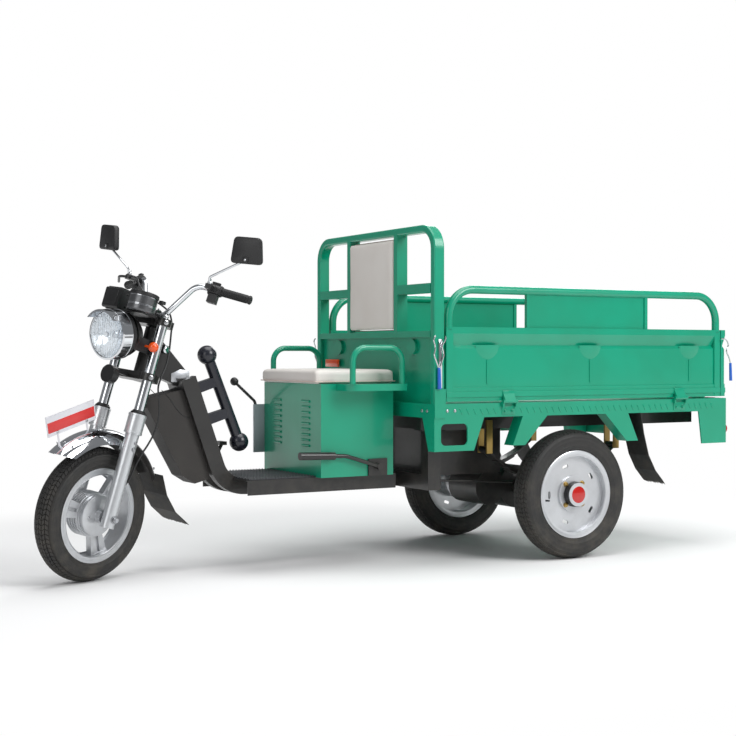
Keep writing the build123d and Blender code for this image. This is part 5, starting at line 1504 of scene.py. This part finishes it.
@dataclass
class Studio:
    """Floor, lamps, world and the photograph's camera."""

    lens: float = 68.09
    eye: Point = (3.579 - MIDDLE, 4.928, 0.834)
    look: Point = (-0.503, -0.864, -0.01006)

    def camera(self) -> None:
        """Sets the camera."""
        data = bpy.data.cameras.new("camera")
        data.lens = self.lens
        data.sensor_width = 36.0
        data.clip_start = 0.05
        data.clip_end = 100.0
        made = bpy.data.objects.new("camera", data)
        made.location = self.eye
        made.rotation_euler = Vector(self.look).to_track_quat("-Z", "Y").to_euler()
        bpy.context.scene.collection.objects.link(made)
        bpy.context.scene.camera = made

    def lamp(self, name: str, at: Point, target: Point, size: float, power: float) -> None:
        """Adds a soft square lamp.

        Args:
            name: its name.
            at: where it stands.
            target: where it points.
            size: its side.
            power: its watts.
        """
        data = bpy.data.lights.new(name, "AREA")
        data.size = size
        data.energy = power
        made = bpy.data.objects.new(name, data)
        made.location = at
        made.rotation_euler = (Vector(target) - Vector(at)).to_track_quat("-Z", "Y").to_euler()
        bpy.context.scene.collection.objects.link(made)

    def floor(self) -> None:
        """Adds the pale floor, which turns white away from the object."""
        mesh = bmesh.new()
        bmesh.ops.create_circle(mesh, cap_ends=True, segments=64, radius=40.0)
        data = bpy.data.meshes.new("floor")
        mesh.to_mesh(data)
        mesh.free()
        made = bpy.data.objects.new("floor", data)
        bpy.context.scene.collection.objects.link(made)
        made.location = (0.0, 0.0, -0.0004)
        material = bpy.data.materials.new("studio_floor")
        material.use_nodes = True
        material.node_tree.nodes.clear()
        sheet = Sheet(material.node_tree)
        tree = material.node_tree
        split = sheet.node("ShaderNodeSeparateXYZ", Vector=sheet.place())
        x, y = sheet.out(split, "X"), sheet.out(split, "Y")
        far = (x * x * 0.16 + y * y * 0.34).step(0.45, 2.2)
        path = sheet.node("ShaderNodeLightPath")
        seen = sheet.out(path, "Is Camera Ray") + sheet.out(path, "Is Glossy Ray")
        seen = seen + sheet.out(path, "Is Transmission Ray")
        matt = sheet.node("ShaderNodeBsdfDiffuse", Color=(0.93, 0.93, 0.93, 1.0))
        white = sheet.node("ShaderNodeEmission", Color=(1.0, 1.0, 1.0, 1.0), Strength=1.0)
        mix = sheet.node("ShaderNodeMixShader")
        plug(tree, mix.inputs[0], far * seen.step(0.0, 1.0))
        tree.links.new(matt.outputs[0], mix.inputs[1])
        tree.links.new(white.outputs[0], mix.inputs[2])
        end = sheet.node("ShaderNodeOutputMaterial")
        tree.links.new(mix.outputs[0], end.inputs[0])
        data.materials.append(material)

    def world(self) -> None:
        """Makes a white world that lights softly."""
        made = bpy.data.worlds.new("studio")
        bpy.context.scene.world = made
        made.use_nodes = True
        tree = made.node_tree
        tree.nodes.clear()
        sheet = Sheet(tree)
        path = sheet.node("ShaderNodeLightPath")
        seen = sheet.out(path, "Is Camera Ray") + sheet.out(path, "Is Transmission Ray")
        soft = sheet.node("ShaderNodeBackground", Color=(0.95, 0.97, 1.0, 1.0), Strength=0.24)
        white = sheet.node("ShaderNodeBackground", Color=(1.0, 1.0, 1.0, 1.0), Strength=1.0)
        mix = sheet.node("ShaderNodeMixShader")
        plug(tree, mix.inputs[0], seen)
        tree.links.new(soft.outputs[0], mix.inputs[1])
        tree.links.new(white.outputs[0], mix.inputs[2])
        end = sheet.node("ShaderNodeOutputWorld")
        tree.links.new(mix.outputs[0], end.inputs[0])

    def build(self) -> None:
        """Sets the whole studio."""
        bpy.context.scene.view_settings.view_transform = "Standard"
        self.camera()
        self.floor()
        self.world()
        self.lamp("key", (-2.4, 5.2, 4.2), (-0.2, 0.0, 0.6), 3.2, 270.0)
        self.lamp("top", (0.0, 0.5, 5.0), (0.0, 0.0, 0.0), 4.0, 165.0)
        self.lamp("front", (5.0, 2.4, 2.4), (0.6, 0.0, 0.6), 2.6, 45.0)
        self.lamp("rear", (-4.0, -4.0, 3.4), (0.0, 0.0, 0.6), 3.0, 110.0)


def dress_nodes(frame: dict) -> None:
    """Gives every CAD node its finish.
    """
    for name, made in frame["nodes"].items():
        material = NODE_FINISHES[name].material()
        if not made.material_slots:
            made.data.materials.append(material)
        for slot in made.material_slots:
            slot.material = material


def main() -> None:
    """Builds the looks around the frame."""
    logging.basicConfig(level=logging.INFO, format="%(name)s %(message)s")
    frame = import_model()
    Studio().build()
    dress_nodes(frame)
    Tyre("front_tyre_tread", "front_tyre", Body.FRONT_WHEEL, FRONT_WHEEL,
         radius=0.2498, width=0.096, bead=0.174, crown_half=0.036, crown_drop=0.0165).build()
    for side, body, word in ((1.0, Body.REAR_LEFT, "left"), (-1.0, Body.REAR_RIGHT, "right")):
        middle = Matrix.Translation(REAR_AXLE + Vector((0.0, side * HALF_TRACK, 0.0)))
        Tyre(f"{word}_tyre_tread", f"{word}_tyre", body, middle,
             radius=0.2628, width=0.104, bead=0.178, crown_half=0.043, crown_drop=0.013).build()
        RearWheelTrim(f"{word}_wheel", body, side).build()
    FrontWheelTrim().build()
    Fork().build()
    Headlamp().build()
    Dash().build()
    Handlebar().build()
    MirrorTrim().build()
    FenderTrim().build()
    NeckTrim().build()
    FloorMat().build()
    Latches().build()
    BedTrim().build()
    GearLever().build()
    Fringe().build()
    SoftPad("seat_pad", "seat_cushion", (0.0835, -0.2385, 0.7195), (0.4405, 0.2385, 0.7700),
            press=4.0, cap=0.004, round=0.012, thin_axis=2, flat_side=-1.0).build()
    SoftPad("back_pad", "backrest", (0.0205, -0.1745, 0.9295), (0.0600, 0.1745, 1.2915),
            press=4.0, cap=0.004, round=0.008, thin_axis=0, flat_side=-1.0).build()


if __name__ == "__main__":
    main()
